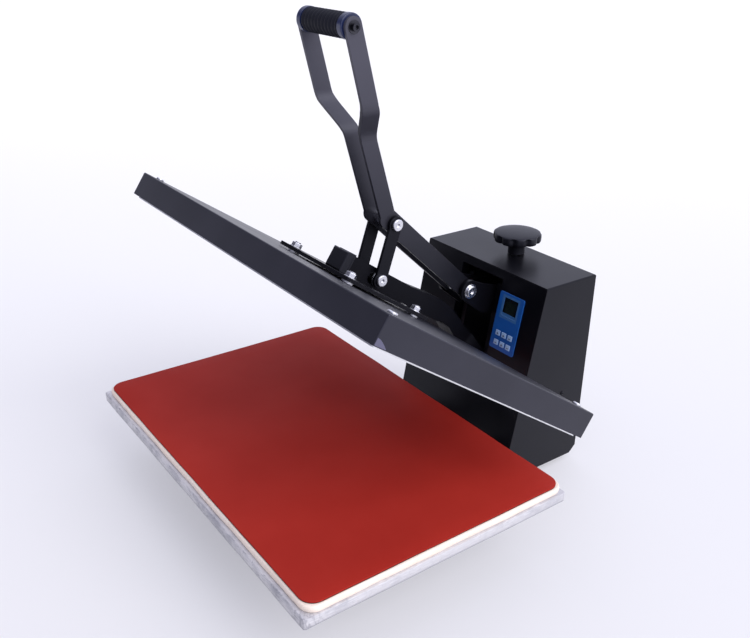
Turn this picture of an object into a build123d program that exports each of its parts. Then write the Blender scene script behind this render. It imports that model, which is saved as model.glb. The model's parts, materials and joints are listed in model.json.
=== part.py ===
from build123d import *
import os
from math import acos, atan2, cos, degrees, hypot, pi, radians, sin, tan

# A clamshell flatbed heat press, open. All sizes are in millimetres.
# +X is the operator's right, +Y the back and +Z up. The origin is on the floor
# under the middle of the press, and the upper platen is built closed, then swung open.

# Fits
running_gap = 0.05
bolt_gap = 0.2
side_gap = 0.3
link_gap = 0.5
case_fit = 0.3
past = 1.0

# Lower platen, from the mat down
mat_width = 600.0
mat_length = 400.0
mat_back = 92.0
mat_thickness = 3.0
mat_corner = 20.0
foam_thickness = 10.0
foam_overhang = 3.0
foam_corner = 18.0
plate_thickness = 14.0
plate_side_overhang = 5.0
plate_front_overhang = 8.0
plate_back_overhang = 4.0
plate_corner = 10.0

# Base frame
foot_height = 12.0
foot_radius = 17.0
foot_taper = 2.0
foot_recess_radius = 8.5
foot_recess_depth = 6.0
foot_screw_radius = 2.5
foot_screw_head = 5.0
foot_screw_head_height = 3.0
foot_screw_grip = 10.0
rail_size = 40.0
rail_wall = 2.0
rail_spread = 150.0
rail_front = -175.0
rail_back = 300.0
rail_foot_inset = 25.0
cap_lip = 3.0
cap_plug = 8.0
post_size = 30.0
post_height = 33.0
bearer_length = 240.0
bearer_width = 40.0
bearer_height = 20.0
bearer_front = -150.0
bearer_back = 40.0
plate_bolt_spread = 200.0
plate_bolt_radius = 4.0
plate_bolt_head = 6.5
plate_bolt_head_height = 5.0
plate_bolt_depth = 9.0
plate_bolt_tip_gap = 1.0

# Control box
case_width = 271.0
case_height = 316.0
case_back = 312.0
case_top_depth = 104.5
case_bottom_depth = 165.0
case_wall = 1.5
case_bend = 2.5
case_corner_cut = 12.0
case_hole_gap = 1.0
cutout_gap = 1.0
panel_lift = 2.0
window_width = 92.0
window_bottom = 132.0
window_head = 14.0
window_flange = 14.0
vent_count = 9
vent_pitch = 12.0
vent_length = 60.0
vent_width = 4.0
vent_height = 240.0
vent_column_x = 45.0
tray_front_gap = 1.0

# Hinge, uprights and bridge
hinge_y = 213.15
hinge_z = 160.3
open_angle = 34.4
axle_radius = 8.0
axle_chamfer = 1.0
axle_end_proud = 1.7
hinge_spacer_wall = 6.0
hinge_spacer_length = 1.0
hinge_collar_wall = 4.0
hinge_collar_length = 4.0
hinge_tube_wall = 6.0
upright_thickness = 8.0
upright_back = 298.0
upright_boss = 24.0
upright_top_setback = 10.0
frame_setback = 12.0
frame_plate_thickness = 6.0
frame_plate_width = 130.0
bridge_headroom = 18.0
bridge_thickness = 10.0
bridge_overhang = 9.7
bridge_front = 236.0
bridge_screw_inset = 12.0
bridge_screw_radius = 2.5
bridge_screw_head = 4.5
bridge_screw_head_height = 4.0
bridge_screw_grip = 12.0
bridge_screw_hole = 15.0

# Pressure screw, its fork and its knob
spindle_y = 275.0
spindle_radius = 8.0
spindle_pitch = 2.0
spindle_tail = 20.0
spindle_collar_wall = 5.0
spindle_collar_height = 6.0
pressure_turns = 1.25
nut_block_length = 26.0
nut_block_height = 30.0
nut_block_drop = 47.0
fork_thickness = 6.0
fork_eye = 17.0
fork_chin = (-12.0, -12.0)
fork_throat = (26.0, -43.0)
fork_shoulder = (30.0, 5.0)
fork_brow = (8.0, 14.5)
fork_foot_run = 40.0
fork_top_run = 20.0
fork_rim_back = 6.0
fork_rim_below = 4.0
fork_rim_above = 3.0
knob_radius = 38.0
knob_lobes = 8
knob_lobe_radius = 13.0
knob_lobe_depth = 3.5
knob_height = 17.0
knob_top_round = 3.0
knob_bottom_round = 1.5
knob_boss_radius = 14.0
knob_boss_height = 21.0
knob_lift = 1.0

# Handle, in the open position
handle_pivot_y = 154.6
handle_pivot_z = 299.9
link_top_y = 12.7
link_top_z = 432.0
handle_bar_thickness = 5.0
handle_bar_width = 24.0
handle_root_width = 28.0
handle_knee_y = 2.9
handle_knee_z = 441.1
handle_splay_outside = 110.0
splay_bottom_y = -33.5
splay_bottom_z = 562.0
splay_top_y = -52.7
splay_top_z = 601.0
handle_spacer_wall = 4.0
grip_y = -78.8
grip_z = 699.5
grip_radius = 15.5
grip_rod_radius = 6.0
grip_collar_length = 9.0
grip_collar_radius = 15.8
grip_collar_round = 1.5
grip_rib_count = 15
grip_rib_depth = 1.0
grip_groove_width = 1.6
grip_screw_radius = 3.0
grip_screw_head = 5.0
grip_screw_head_height = 5.0
grip_screw_hole = 20.0
grip_screw_grip = 15.0
grip_socket_radius = 2.9
grip_socket_depth = 3.0
grip_washer_radius = 8.0
grip_washer_thickness = 1.0

# Links and their bolts
link_seat_along = 224.9
link_seat_rise = 1.3
link_thickness = 5.0
link_width = 20.0
link_eye = 12.0
link_spacer_length = 3.5
link_bolt_radius = 5.0
link_bolt_head = 8.7
handle_bolt_radius = 6.0
handle_bolt_head = 9.5
pivot_washer_thickness = 1.5
pivot_washer_rim = 2.0
bolt_head_height = 4.0
bolt_head_chamfer = 1.2
bolt_tail = 12.0
nut_proportion = 1.4
socket_proportion = 0.6
socket_floor = 1.5

# Swinging arm, measured closed; each outline point is a place along and a rise over its bottom
arm_width = 34.0
arm_height = 28.0
arm_sheet = 5.0
arm_front = 160.0
arm_web = 3.0
arm_round = 15.0
arm_top_line = (
    (300.0, 28.0), (357.0, 32.5), (385.0, 29.0), (409.0, 21.7), (436.0, 12.0), (456.0, 7.0), (484.6, -5.8)
)
arm_bottom_line = ((490.0, -29.5), (452.0, -17.5), (424.0, -9.7), (402.0, 0.5), (381.0, 2.9), (372.0, 0.0))
flare_start = 451.0
flare_end = 479.0
flare_spread = 10.0
hinge_eye = 14.0
end_cap_nose = 4.0
end_cap_reach = 10.5
end_cap_wall = 1.2
end_cap_round = 3.0
end_cap_ridge = 2.5
end_cap_ridge_proud = 0.8
end_cap_tongue = 9.0

# Upper platen, measured closed
cover_side_overhang = 10.5
cover_back_overhang = 8.0
cover_height = 35.6
cover_sheet = 1.5
cover_bend = 2.0
closed_gap = 0.8
heat_plate_proud = 2.2
heat_plate_thickness = 12.0
heat_plate_inset = 6.0
heat_plate_corner = 6.0
element_radius = 4.0
element_runs = 6
element_inset = 60.5
insulation_inset = 26.0
insulation_gap = 1.0
mount_plate_width = 170.0
mount_plate_front = 120.0
mount_plate_length = 166.0
mount_plate_thickness = 5.0
mount_plate_lift = 2.9
mount_plate_corner = 4.0
stud_spread = 136.0
stud_front = 137.0
stud_pitch = 132.0
stud_radius = 4.5
stud_tip = 1.5
stud_foot_gap = 1.0
stud_spacer_wall = 4.0
stud_nut_radius = 7.8
stud_nut_height = 6.0
stud_washer_radius = 9.0
stud_washer_thickness = 1.0
cover_screw_inset_x = 18.0
cover_screw_inset_y = 20.0
cover_screw_radius = 3.0
cover_screw_head = 6.0
cover_screw_head_height = 3.0
cover_screw_round = 1.5
pillar_wall = 3.0
gland_x = -48.0
gland_along = 374.0
gland_nut_radius = 10.0
gland_nut_height = 5.0
gland_dome_radius = 7.5
gland_dome_height = 9.0
gland_dome_round = 2.0
gland_throat_radius = 5.8
gland_reach = 3.0
gland_bore = 3.5
gland_room = 9.0

# Control panel on the sloping front
panel_centre_x = 74.25
panel_centre_z = 253.0
panel_width = 51.5
panel_height = 91.6
panel_thickness = 2.0
panel_corner = 3.0
panel_body_inset = 3.0
panel_back = 1.0
display_width = 28.5
display_height = 28.5
display_centre_z = 277.0
display_recess = 0.6
key_width = 9.0
key_height = 8.0
key_pitch = 12.95
key_row_upper = 234.0
key_row_lower = 219.0
key_proud = 0.8
key_travel = 0.6
key_gap = 0.25
key_flange = 1.0
key_flange_thickness = 1.2
key_switch = 6.0
board_depth = 9.0
board_thickness = 1.6
board_inset = 1.0
board_pillar = 3.0

# Electrics inside the box
transformer_x = -91.0
transformer_y = 233.5
core_width = 48.0
core_length = 57.0
core_height = 40.0
coil_width = 32.0
coil_length = 73.0
coil_height = 24.0
transformer_round = 1.5
relay_x = 114.0
relay_y = 245.0
relay_width = 30.0
relay_length = 60.0
relay_height = 45.0
relay_round = 2.0

# Mains inlet and switch on the back
inlet_x = -78.0
inlet_z = 92.0
inlet_width = 48.0
inlet_height = 28.0
inlet_flange = 2.0
inlet_corner = 4.0
inlet_body_width = 36.0
inlet_body_height = 22.0
inlet_depth = 26.0
socket_width = 24.0
socket_height = 16.0
socket_depth = 18.0
pin_width = 2.0
pin_height = 4.0
pin_spread = 7.0
pin_low = -2.0
pin_high = 3.0
pin_recess = 3.0
switch_x = 78.0
switch_z = 92.0
switch_width = 31.0
switch_height = 36.0
switch_flange = 2.0
switch_corner = 3.0
switch_body_width = 25.0
switch_body_height = 30.0
switch_depth = 22.0
rocker_room_depth = 14.0
rocker_width = 22.0
rocker_height = 26.0
rocker_tilt = 8.0
rocker_gap = 0.5
rocker_proud = 2.0
rocker_axis_inset = 2.0
rocker_depth = 5.0
rocker_foot_inset = 3.0
rocker_vee = 1.5
rocker_pin_radius = 1.5
rocker_pin_reach = 1.2

# Places worked out from the sizes
mat_front = mat_back - mat_length
rail_top = foot_height + rail_size
bearer_bottom = rail_top + post_height
plate_bottom = bearer_bottom + bearer_height
plate_top = plate_bottom + plate_thickness
foam_top = plate_top + foam_thickness
mat_top = foam_top + mat_thickness
rail_x = rail_spread / 2
case_top = foot_height + case_height
window_top = case_top - window_head
frame_bottom = rail_top + case_wall
frame_top = frame_bottom + frame_plate_thickness
upright_top = case_top - bridge_headroom - bridge_thickness
bridge_top = upright_top + bridge_thickness
arm_outside = arm_width / 2
arm_inside = arm_outside - arm_sheet
eye_outside = arm_outside + flare_spread
eye_inside = eye_outside - arm_sheet
upright_inside = eye_outside + side_gap + hinge_spacer_length
upright_outside = upright_inside + upright_thickness
upright_screw_x = (upright_inside + upright_outside) / 2
bridge_screw_places = (bridge_front + bridge_screw_inset, upright_back - bridge_screw_inset)
fork_outside = upright_inside - side_gap
fork_inside = fork_outside - fork_thickness
nut_front = spindle_y - nut_block_length / 2
nut_back = spindle_y + nut_block_length / 2
nut_bottom = upright_top - nut_block_drop
nut_top = nut_bottom + nut_block_height
pressure_travel = pressure_turns * spindle_pitch
knob_bottom = case_top + knob_lift
link_inside = arm_outside + link_gap + link_spacer_length
link_outside = link_inside + link_thickness
link_nut_end = link_outside + link_bolt_radius * nut_proportion
bar_outside = link_inside - link_gap
bar_inside = bar_outside - handle_bar_thickness
splay_outside = handle_splay_outside / 2
grip_half = splay_outside - handle_bar_thickness
switch_face = case_back + switch_flange
rocker_axis_y = case_back - rocker_axis_inset

# The upper platen's own directions while closed: along runs back from the
# cover's front edge, and height runs up from the cover's open underside.
cover_front = mat_front
cover_width = mat_width + 2 * cover_side_overhang
cover_length = mat_length + cover_back_overhang
cover_bottom = mat_top + closed_gap + heat_plate_proud
cover_inside = cover_height - cover_sheet
half_cover = cover_width / 2
heat_plate_top = heat_plate_thickness - heat_plate_proud
mount_plate_bottom = cover_height + mount_plate_lift
arm_bottom = mount_plate_bottom + mount_plate_thickness
arm_middle = arm_bottom + arm_height / 2
arm_top = arm_bottom + arm_height
hinge_along = hinge_y - cover_front
hinge_height = hinge_z - cover_bottom
hinge_line = Axis((0, hinge_y, hinge_z), (1, 0, 0))


# Blocks, bars and plates
def block(x0, x1, y0, y1, z0, z1):
    centre = Pos((x0 + x1) / 2, (y0 + y1) / 2, (z0 + z1) / 2)
    return centre * Box(x1 - x0, y1 - y0, z1 - z0)


def bar(x0, x1, y, z, radius):
    """Round bar along X."""
    return Pos((x0 + x1) / 2, y, z) * Rot(0, 90, 0) * Cylinder(radius, x1 - x0)


def bore_x(x0, x1, y, z, radius):
    """Cutting tool for a hole along X, which runs past both faces."""
    return bar(x0 - past, x1 + past, y, z, radius)


def ring(x0, x1, y, z, radius, bore):
    return bar(x0, x1, y, z, radius) - bore_x(x0, x1, y, z, bore)


def post(x, y, z0, z1, radius):
    """Round bar along Z."""
    return Pos(x, y, (z0 + z1) / 2) * Cylinder(radius, z1 - z0)


def bore_z(x, y, z0, z1, radius):
    """Cutting tool for a hole along Z, which runs past both faces."""
    return post(x, y, z0 - past, z1 + past, radius)


def hexagon(x0, x1, y, z, radius):
    """Hexagonal head or nut along X."""
    return Pos(x0, y, z) * Rot(0, 90, 0) * extrude(RegularPolygon(radius, 6), amount=x1 - x0)


def side_plate(outline, x0, x1):
    """Flat plate from an outline drawn in Y and Z, between two X positions."""
    return extrude(Plane.YZ.offset(x0) * outline, amount=x1 - x0)


def back_block(x, z, width, height, y0, y1):
    """Block on the back of the box, from its middle and its face's size."""
    return block(x - width / 2, x + width / 2, y0, y1, z - height / 2, z + height / 2)


def rounded_slab(half_x, y0, y1, z0, z1, corner):
    slab = block(-half_x, half_x, y0, y1, z0, z1)
    return fillet(slab.edges().filter_by(Axis.Z), corner)


def square_tube(x0, x1, y0, y1, z0, z1, run):
    """Square tube with open ends along the named direction."""
    inner = {"x": [x0, x1], "y": [y0, y1], "z": [z0, z1]}
    for name, limits in inner.items():
        wall = -past if name == run else rail_wall
        limits[0] += wall
        limits[1] -= wall
    return block(x0, x1, y0, y1, z0, z1) - block(*inner["x"], *inner["y"], *inner["z"])


def group(*shapes):
    """Separate solids kept together in one node."""
    return Compound([solid for shape in shapes for solid in shape.solids()])


def both_sides(shape):
    """A piece on the right and its mirror image on the left."""
    return group(shape, mirror(shape, about=Plane.YZ))


def polygon(*points):
    return make_face(Polyline(*points, close=True))


def strip(points, widths):
    """Flat strip with round ends and corners along a run of points."""
    outline = Sketch()
    for (y0, z0), (y1, z1), width in zip(points, points[1:], widths):
        length = hypot(y1 - y0, z1 - z0)
        turn = degrees(atan2(z1 - z0, y1 - y0))
        place = Pos((y0 + y1) / 2, (z0 + z1) / 2) * Rot(0, 0, turn)
        outline += place * Rectangle(length, width)
        outline += Pos(y0, z0) * Circle(width / 2)
        outline += Pos(y1, z1) * Circle(width / 2)
    return outline


def bent_strip(inside, bends, ends, thickness):
    """Strip seen edge on: straight, bent outwards between two places, then straight again."""
    lean = atan2(inside[1] - inside[0], bends[1] - bends[0])
    mitre = thickness * tan(lean / 2)
    return polygon(
        (inside[0], ends[0]),
        (inside[0], bends[0]),
        (inside[1], bends[1]),
        (inside[1], ends[1]),
        (inside[1] + thickness, ends[1]),
        (inside[1] + thickness, bends[1] - mitre),
        (inside[0] + thickness, bends[0] - mitre),
        (inside[0] + thickness, ends[0]),
    )


def closed_block(x0, x1, a0, a1, h0, h1):
    """Block on the closed upper platen, from its x, along and height limits."""
    return block(x0, x1, cover_front + a0, cover_front + a1, cover_bottom + h0, cover_bottom + h1)


def closed_post(x, along, h0, h1, radius):
    """Upright round post on the closed upper platen."""
    return post(x, cover_front + along, cover_bottom + h0, cover_bottom + h1, radius)


def closed_bore(x, along, h0, h1, radius):
    return closed_post(x, along, h0 - past, h1 + past, radius)


def opened(shape):
    """Swing a piece of the closed upper platen to the open position."""
    return shape.rotate(hinge_line, -open_angle)


# Linkage: the handle turns on the fork, a link hangs from the handle, and its lower
# bolt drives the arm. The arm's closing angle fixes how far the other two turn.
def turned(point, centre, angle):
    """A point in Y and Z turned about a centre, in degrees about +X."""
    y = point[0] - centre[0]
    z = point[1] - centre[1]
    c = cos(radians(angle))
    s = sin(radians(angle))
    return (centre[0] + y * c - z * s, centre[1] + y * s + z * c)


def bearing(start, end):
    return degrees(atan2(end[1] - start[1], end[0] - start[0]))


def wrapped(angle):
    return (angle + 180) % 360 - 180


hinge_point = (hinge_y, hinge_z)
handle_point = (handle_pivot_y, handle_pivot_z)
link_top = (link_top_y, link_top_z)
link_seat_closed = (cover_front + link_seat_along, cover_bottom + arm_middle + link_seat_rise)
link_seat = turned(link_seat_closed, hinge_point, -open_angle)
handle_radius = hypot(link_top[0] - handle_point[0], link_top[1] - handle_point[1])
link_length = hypot(link_top[0] - link_seat[0], link_top[1] - link_seat[1])


def closed_link_top():
    """Where the link's upper bolt is when the platen is closed."""
    reach = hypot(link_seat_closed[0] - handle_point[0], link_seat_closed[1] - handle_point[1])
    side = (handle_radius ** 2 + reach ** 2 - link_length ** 2) / (2 * handle_radius * reach)
    angle = radians(bearing(handle_point, link_seat_closed)) - acos(side)
    return (handle_point[0] + handle_radius * cos(angle), handle_point[1] + handle_radius * sin(angle))


handle_turn = wrapped(bearing(handle_point, closed_link_top()) - bearing(handle_point, link_top))
link_lean = wrapped(bearing(closed_link_top(), link_seat_closed) - bearing(link_top, link_seat))


def seat_path(steps):
    """Places of the link's lower bolt, seen from the open arm, over the whole swing."""
    places = []
    for step in range(steps + 1):
        part = step / steps
        upper = turned(link_top, handle_point, handle_turn * part)
        hang = turned(link_seat, link_top, link_lean * part)
        lower = (upper[0] + hang[0] - link_top[0], upper[1] + hang[1] - link_top[1])
        places.append(turned(lower, hinge_point, -open_angle * part))
    return places


def seat_room(radius, x0, x1):
    """Room for a round thing on the lower link bolt, over the whole swing and pressure travel."""
    width = 2 * (radius + pressure_travel + 2 * bolt_gap)
    room = Sketch()
    places = seat_path(8)
    for start, end in zip(places, places[1:]):
        room += strip([start, end], [width])
    return side_plate(room, x0, x1)


# Base frame
foot_places = [
    (side * rail_x, y)
    for side in (-1, 1)
    for y in (rail_front + rail_foot_inset, rail_back - rail_foot_inset)
]
plate_bolt_places = [
    (side * plate_bolt_spread / 2, y) for side in (-1, 1) for y in (bearer_front, bearer_back)
]


def base_rails():
    half = rail_size / 2
    right = square_tube(rail_x - half, rail_x + half, rail_front, rail_back, foot_height, rail_top, "y")
    for x, y in foot_places:
        right -= bore_z(x, y, foot_height, foot_height + rail_wall, foot_screw_radius + bolt_gap)
    return both_sides(right)


def rubber_feet():
    feet = []
    for x, y in foot_places:
        foot = Pos(x, y, foot_height / 2) * Cone(foot_radius - foot_taper, foot_radius, foot_height)
        foot -= bore_z(x, y, 0, foot_height, foot_screw_radius + bolt_gap)
        foot -= post(x, y, -past, foot_recess_depth, foot_recess_radius)
        feet.append(foot)
    return group(*feet)


def foot_screws():
    screws = []
    for x, y in foot_places:
        head = post(x, y, foot_recess_depth - foot_screw_head_height, foot_recess_depth, foot_screw_head)
        shank = post(x, y, foot_recess_depth, foot_height + foot_screw_grip, foot_screw_radius)
        screws.append(head + shank)
    return group(*screws)


def rail_caps():
    """Plastic caps in the rails' ends, each a plug with a lip over the tube's end."""
    outer = rail_size / 2
    inner = outer - rail_wall
    caps = []
    for face, outward in ((rail_front, -1), (rail_back, 1)):
        lip_y = sorted((face, face + outward * cap_lip))
        plug_y = sorted((face, face - outward * cap_plug))
        lip = block(rail_x - outer, rail_x + outer, *lip_y, foot_height, rail_top)
        plug = block(rail_x - inner, rail_x + inner, *plug_y, foot_height + rail_wall, rail_top - rail_wall)
        caps.append(lip + plug)
    return both_sides(group(*caps))


def cross_tubes():
    half = rail_x - rail_size / 2
    tubes = []
    for y in (rail_front, rail_back - rail_size):
        tubes.append(square_tube(-half, half, y, y + rail_size, foot_height, rail_top, "x"))
    return group(*tubes)


def platen_posts():
    half = post_size / 2
    posts = []
    for y in (bearer_front, bearer_back):
        posts.append(
            square_tube(rail_x - half, rail_x + half, y - half, y + half, rail_top, bearer_bottom, "z")
        )
    return both_sides(group(*posts))


def platen_bearers():
    half_x = bearer_length / 2
    half_y = bearer_width / 2
    bearers = []
    for y in (bearer_front, bearer_back):
        bearers.append(square_tube(-half_x, half_x, y - half_y, y + half_y, bearer_bottom, plate_bottom, "x"))
    bearers = group(*bearers)
    for x, y in plate_bolt_places:
        bearers -= bore_z(x, y, bearer_bottom, plate_bottom, plate_bolt_radius + bolt_gap)
    return bearers


def lower_plate():
    plate = rounded_slab(
        mat_width / 2 + plate_side_overhang,
        mat_front - plate_front_overhang,
        mat_back + plate_back_overhang,
        plate_bottom,
        plate_top,
        plate_corner,
    )
    for x, y in plate_bolt_places:
        plate -= post(x, y, plate_bottom - past, plate_bottom + plate_bolt_depth, plate_bolt_radius + bolt_gap)
    return plate


def plate_bolts():
    bolts = []
    tip = plate_bottom + plate_bolt_depth - plate_bolt_tip_gap
    for x, y in plate_bolt_places:
        outline = Pos(x, y, bearer_bottom) * RegularPolygon(plate_bolt_head, 6)
        head = extrude(outline, amount=-plate_bolt_head_height)
        bolts.append(head + post(x, y, bearer_bottom, tip, plate_bolt_radius))
    return group(*bolts)


def foam_pad():
    return rounded_slab(
        mat_width / 2 + foam_overhang,
        mat_front - foam_overhang,
        mat_back + foam_overhang,
        plate_top,
        foam_top,
        foam_corner,
    )


def silicone_mat():
    return rounded_slab(mat_width / 2, mat_front, mat_back, foam_top, mat_top, mat_corner)


# Control box
slope_run = case_bottom_depth - case_top_depth
slope = degrees(atan2(slope_run, case_height))
slope_cos = cos(radians(slope))
slope_sin = sin(radians(slope))


def case_front_y(z):
    """Y of the sloping front face at a height."""
    return case_back - case_bottom_depth + slope_run * (z - foot_height) / case_height


def slope_plane(z, lift):
    """Plane on the sloping front at a height, raised outwards by the lift."""
    y = case_front_y(z) - lift * slope_cos
    return Plane(
        origin=(0, y, z + lift * slope_sin), x_dir=(1, 0, 0), z_dir=(0, -slope_cos, slope_sin)
    )


def slope_block(x0, x1, z_centre, height, lift0, lift1):
    """Block that lies on the sloping front, between two lifts from its face."""
    plane = slope_plane(z_centre, lift0)
    sketch = Pos((x0 + x1) / 2, 0) * Rectangle(x1 - x0, height)
    return extrude(plane * sketch, amount=lift1 - lift0)


def case_outline():
    return polygon(
        (case_front_y(foot_height), foot_height),
        (case_front_y(case_top), case_top),
        (case_back, case_top),
        (case_back, foot_height + case_corner_cut),
        (case_back - case_corner_cut, foot_height),
    )


def vents():
    """Cutting tool for the two columns of slots in the back."""
    slots = Sketch()
    for index in range(vent_count):
        z = vent_height + (index - (vent_count - 1) / 2) * vent_pitch
        for x in (-vent_column_x, vent_column_x):
            slots += Pos(x, z) * SlotOverall(vent_length, vent_width)
    return extrude(Plane.XZ.offset(-case_back - past) * slots, amount=case_wall + 2 * past)


def box_shell():
    half = case_width / 2
    inside_back = case_back - case_wall
    shell = side_plate(case_outline(), -half, half)
    bends = shell.edges().filter_by(Axis.Y).group_by(Axis.Z)[-1]
    bends += shell.edges().filter_by(Axis.X).group_by(Axis.Z)[-1].sort_by(Axis.Y)[-1:]
    shell = fillet(bends, case_bend)
    shell -= block(case_wall - half, half - case_wall, 0, inside_back, 0, case_top - case_wall)
    shell -= bore_z(0, spindle_y, case_top - case_wall, case_top, spindle_radius + case_hole_gap)
    for x, z, width, height in (
        (inlet_x, inlet_z, inlet_body_width, inlet_body_height),
        (switch_x, switch_z, switch_body_width, switch_body_height),
    ):
        shell -= back_block(
            x, z, width + 2 * cutout_gap, height + 2 * cutout_gap, inside_back - past, case_back + past
        )
    return shell - vents()


def front_panel():
    """Sloping sheet with a flanged window for the arm, the fork and the handle."""
    half = case_width / 2 - case_wall - case_fit
    low = foot_height + panel_lift
    high = case_top - case_wall - case_fit
    wall = case_wall / slope_cos
    sheet = polygon(
        (case_front_y(low), low),
        (case_front_y(high), high),
        (case_front_y(high) + wall, high),
        (case_front_y(low) + wall, low),
    )
    panel = side_plate(sheet, -half, half)
    flange = polygon(
        (case_front_y(window_bottom) + wall / 2, window_bottom),
        (case_front_y(window_top) + wall / 2, window_top),
        (case_front_y(window_top) + window_flange, window_top),
        (case_front_y(window_bottom) + window_flange, window_bottom),
    )
    edge = window_width / 2
    for side in (-1, 1):
        x0, x1 = sorted((side * edge, side * (edge + case_wall)))
        panel += side_plate(flange, x0, x1)
    panel -= block(-edge, edge, 0, case_back, window_bottom, window_top)
    notch = rail_size / 2 + case_fit
    for x in (-rail_x, rail_x):
        panel -= block(x - notch, x + notch, 0, case_back, 0, rail_top + case_fit)
    body = panel_width / 2 - panel_body_inset
    panel -= slope_block(
        panel_centre_x - body, panel_centre_x + body, panel_centre_z,
        panel_height - 2 * panel_body_inset, -case_wall - past, past,
    )
    return panel


def floor_tray():
    half = case_width / 2 - case_wall - case_fit
    front = case_front_y(rail_top) + case_wall + tray_front_gap
    return block(-half, half, front, case_back - case_wall - case_fit, rail_top, frame_bottom)


# Mechanism frame
def mechanism_plate():
    half = frame_plate_width / 2
    front = case_front_y(rail_top) + frame_setback
    return block(-half, half, front, upright_back, frame_bottom, frame_top)


def upright():
    outline = polygon(
        (case_front_y(frame_top) + frame_setback, frame_top),
        (hinge_y - upright_boss, hinge_z - upright_boss / 2),
        (hinge_y - upright_boss, hinge_z + upright_boss / 2),
        (case_front_y(upright_top) + upright_top_setback, upright_top),
        (upright_back, upright_top),
        (upright_back, frame_top),
    )
    plate = side_plate(outline, upright_inside, upright_outside)
    plate -= bore_x(upright_inside, upright_outside, hinge_y, hinge_z, axle_radius + running_gap)
    for y in bridge_screw_places:
        plate -= post(
            upright_screw_x, y, upright_top - bridge_screw_hole, upright_top + past, bridge_screw_radius
        )
    return plate


def top_bridge():
    half = upright_outside + bridge_overhang
    bridge = block(-half, half, bridge_front, upright_back, upright_top, bridge_top)
    bridge -= bore_z(0, spindle_y, upright_top, bridge_top, spindle_radius + running_gap)
    for x in (-upright_screw_x, upright_screw_x):
        for y in bridge_screw_places:
            bridge -= bore_z(x, y, upright_top, bridge_top, bridge_screw_radius + bolt_gap)
    return bridge


def bridge_screws():
    screws = []
    for y in bridge_screw_places:
        head = post(upright_screw_x, y, bridge_top, bridge_top + bridge_screw_head_height, bridge_screw_head)
        shank = post(upright_screw_x, y, upright_top - bridge_screw_grip, bridge_top, bridge_screw_radius)
        screws.append(head + shank)
    return both_sides(group(*screws))


def hinge_axle():
    half = upright_outside + hinge_collar_length + axle_end_proud
    axle = bar(-half, half, hinge_y, hinge_z, axle_radius)
    return chamfer(axle.edges().filter_by(GeomType.CIRCLE), axle_chamfer)


def hinge_rings():
    """Spacers between the arm and the uprights, and collars outside them."""
    bore = axle_radius + running_gap
    spacer = ring(
        eye_outside + side_gap, upright_inside, hinge_y, hinge_z, axle_radius + hinge_spacer_wall, bore
    )
    collar = ring(
        upright_outside, upright_outside + hinge_collar_length, hinge_y, hinge_z,
        axle_radius + hinge_collar_wall, bore,
    )
    return both_sides(group(spacer, collar))


# Pressure fork, screw and knob
def fork_plates():
    y, z = handle_point
    outline = polygon(
        (y + fork_chin[0], z + fork_chin[1]),
        (y + fork_throat[0], z + fork_throat[1]),
        (nut_front - fork_foot_run, nut_bottom - fork_rim_below),
        (nut_back + fork_rim_back, nut_bottom - fork_rim_below),
        (nut_back + fork_rim_back, nut_top + fork_rim_above),
        (nut_front - fork_top_run, nut_top + fork_rim_above),
        (y + fork_shoulder[0], z + fork_shoulder[1]),
        (y + fork_brow[0], z + fork_brow[1]),
    )
    outline += Pos(y, z) * Circle(fork_eye)
    plate = side_plate(outline, fork_inside, fork_outside)
    return both_sides(plate - bore_x(fork_inside, fork_outside, y, z, handle_bolt_radius + running_gap))


def nut_block():
    body = block(-fork_inside, fork_inside, nut_front, nut_back, nut_bottom, nut_top)
    return body - bore_z(0, spindle_y, nut_bottom, nut_top, spindle_radius + running_gap)


def spindle():
    """Screw with a collar over the bridge and one under it, which keep its height."""
    screw = post(0, spindle_y, nut_bottom - spindle_tail, knob_bottom + knob_boss_height, spindle_radius)
    collar = spindle_radius + spindle_collar_wall
    upper = bridge_top + side_gap
    lower = upright_top - side_gap
    screw += post(0, spindle_y, upper, upper + spindle_collar_height, collar)
    return screw + post(0, spindle_y, lower - spindle_collar_height, lower, collar)


def knob():
    boss_top = knob_bottom + knob_boss_height
    reach = knob_radius - knob_lobe_radius
    outline = Circle(knob_radius - knob_lobe_depth)
    for index in range(knob_lobes):
        turn = 2 * pi * index / knob_lobes
        outline += Pos(reach * cos(turn), reach * sin(turn)) * Circle(knob_lobe_radius)
    head = extrude(Pos(0, spindle_y, boss_top) * outline, amount=knob_height)
    head = fillet(head.edges().group_by(Axis.Z)[-1], knob_top_round)
    head = fillet(head.edges().group_by(Axis.Z)[0], knob_bottom_round)
    body = head + post(0, spindle_y, knob_bottom, boss_top, knob_boss_radius)
    return body - post(0, spindle_y, knob_bottom - past, boss_top, spindle_radius)


# Handle
def handle_bar():
    """Right-hand bar: a flat strip, cranked at the knee and splayed out to the grip."""
    pin = handle_point
    knee = (handle_knee_y, handle_knee_z)
    low = (splay_bottom_y, splay_bottom_z)
    high = (splay_top_y, splay_top_z)
    grip = (grip_y, grip_z)
    outline = strip(
        [pin, knee, low, high, grip],
        [handle_root_width, handle_bar_width, handle_bar_width, handle_bar_width],
    )
    edge = bent_strip(
        (bar_inside, grip_half), (splay_bottom_z, splay_top_z), (0, grip_z + handle_bar_width),
        handle_bar_thickness,
    )
    strap = side_plate(outline, 0, splay_outside) & extrude(Plane.XZ * edge, amount=case_back, both=True)
    for (y, z), radius in (
        (pin, handle_bolt_radius + running_gap),
        (link_top, link_bolt_radius + running_gap),
        (grip, grip_rod_radius + bolt_gap),
    ):
        strap -= bore_x(0, splay_outside, y, z, radius)
    return strap


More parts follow.
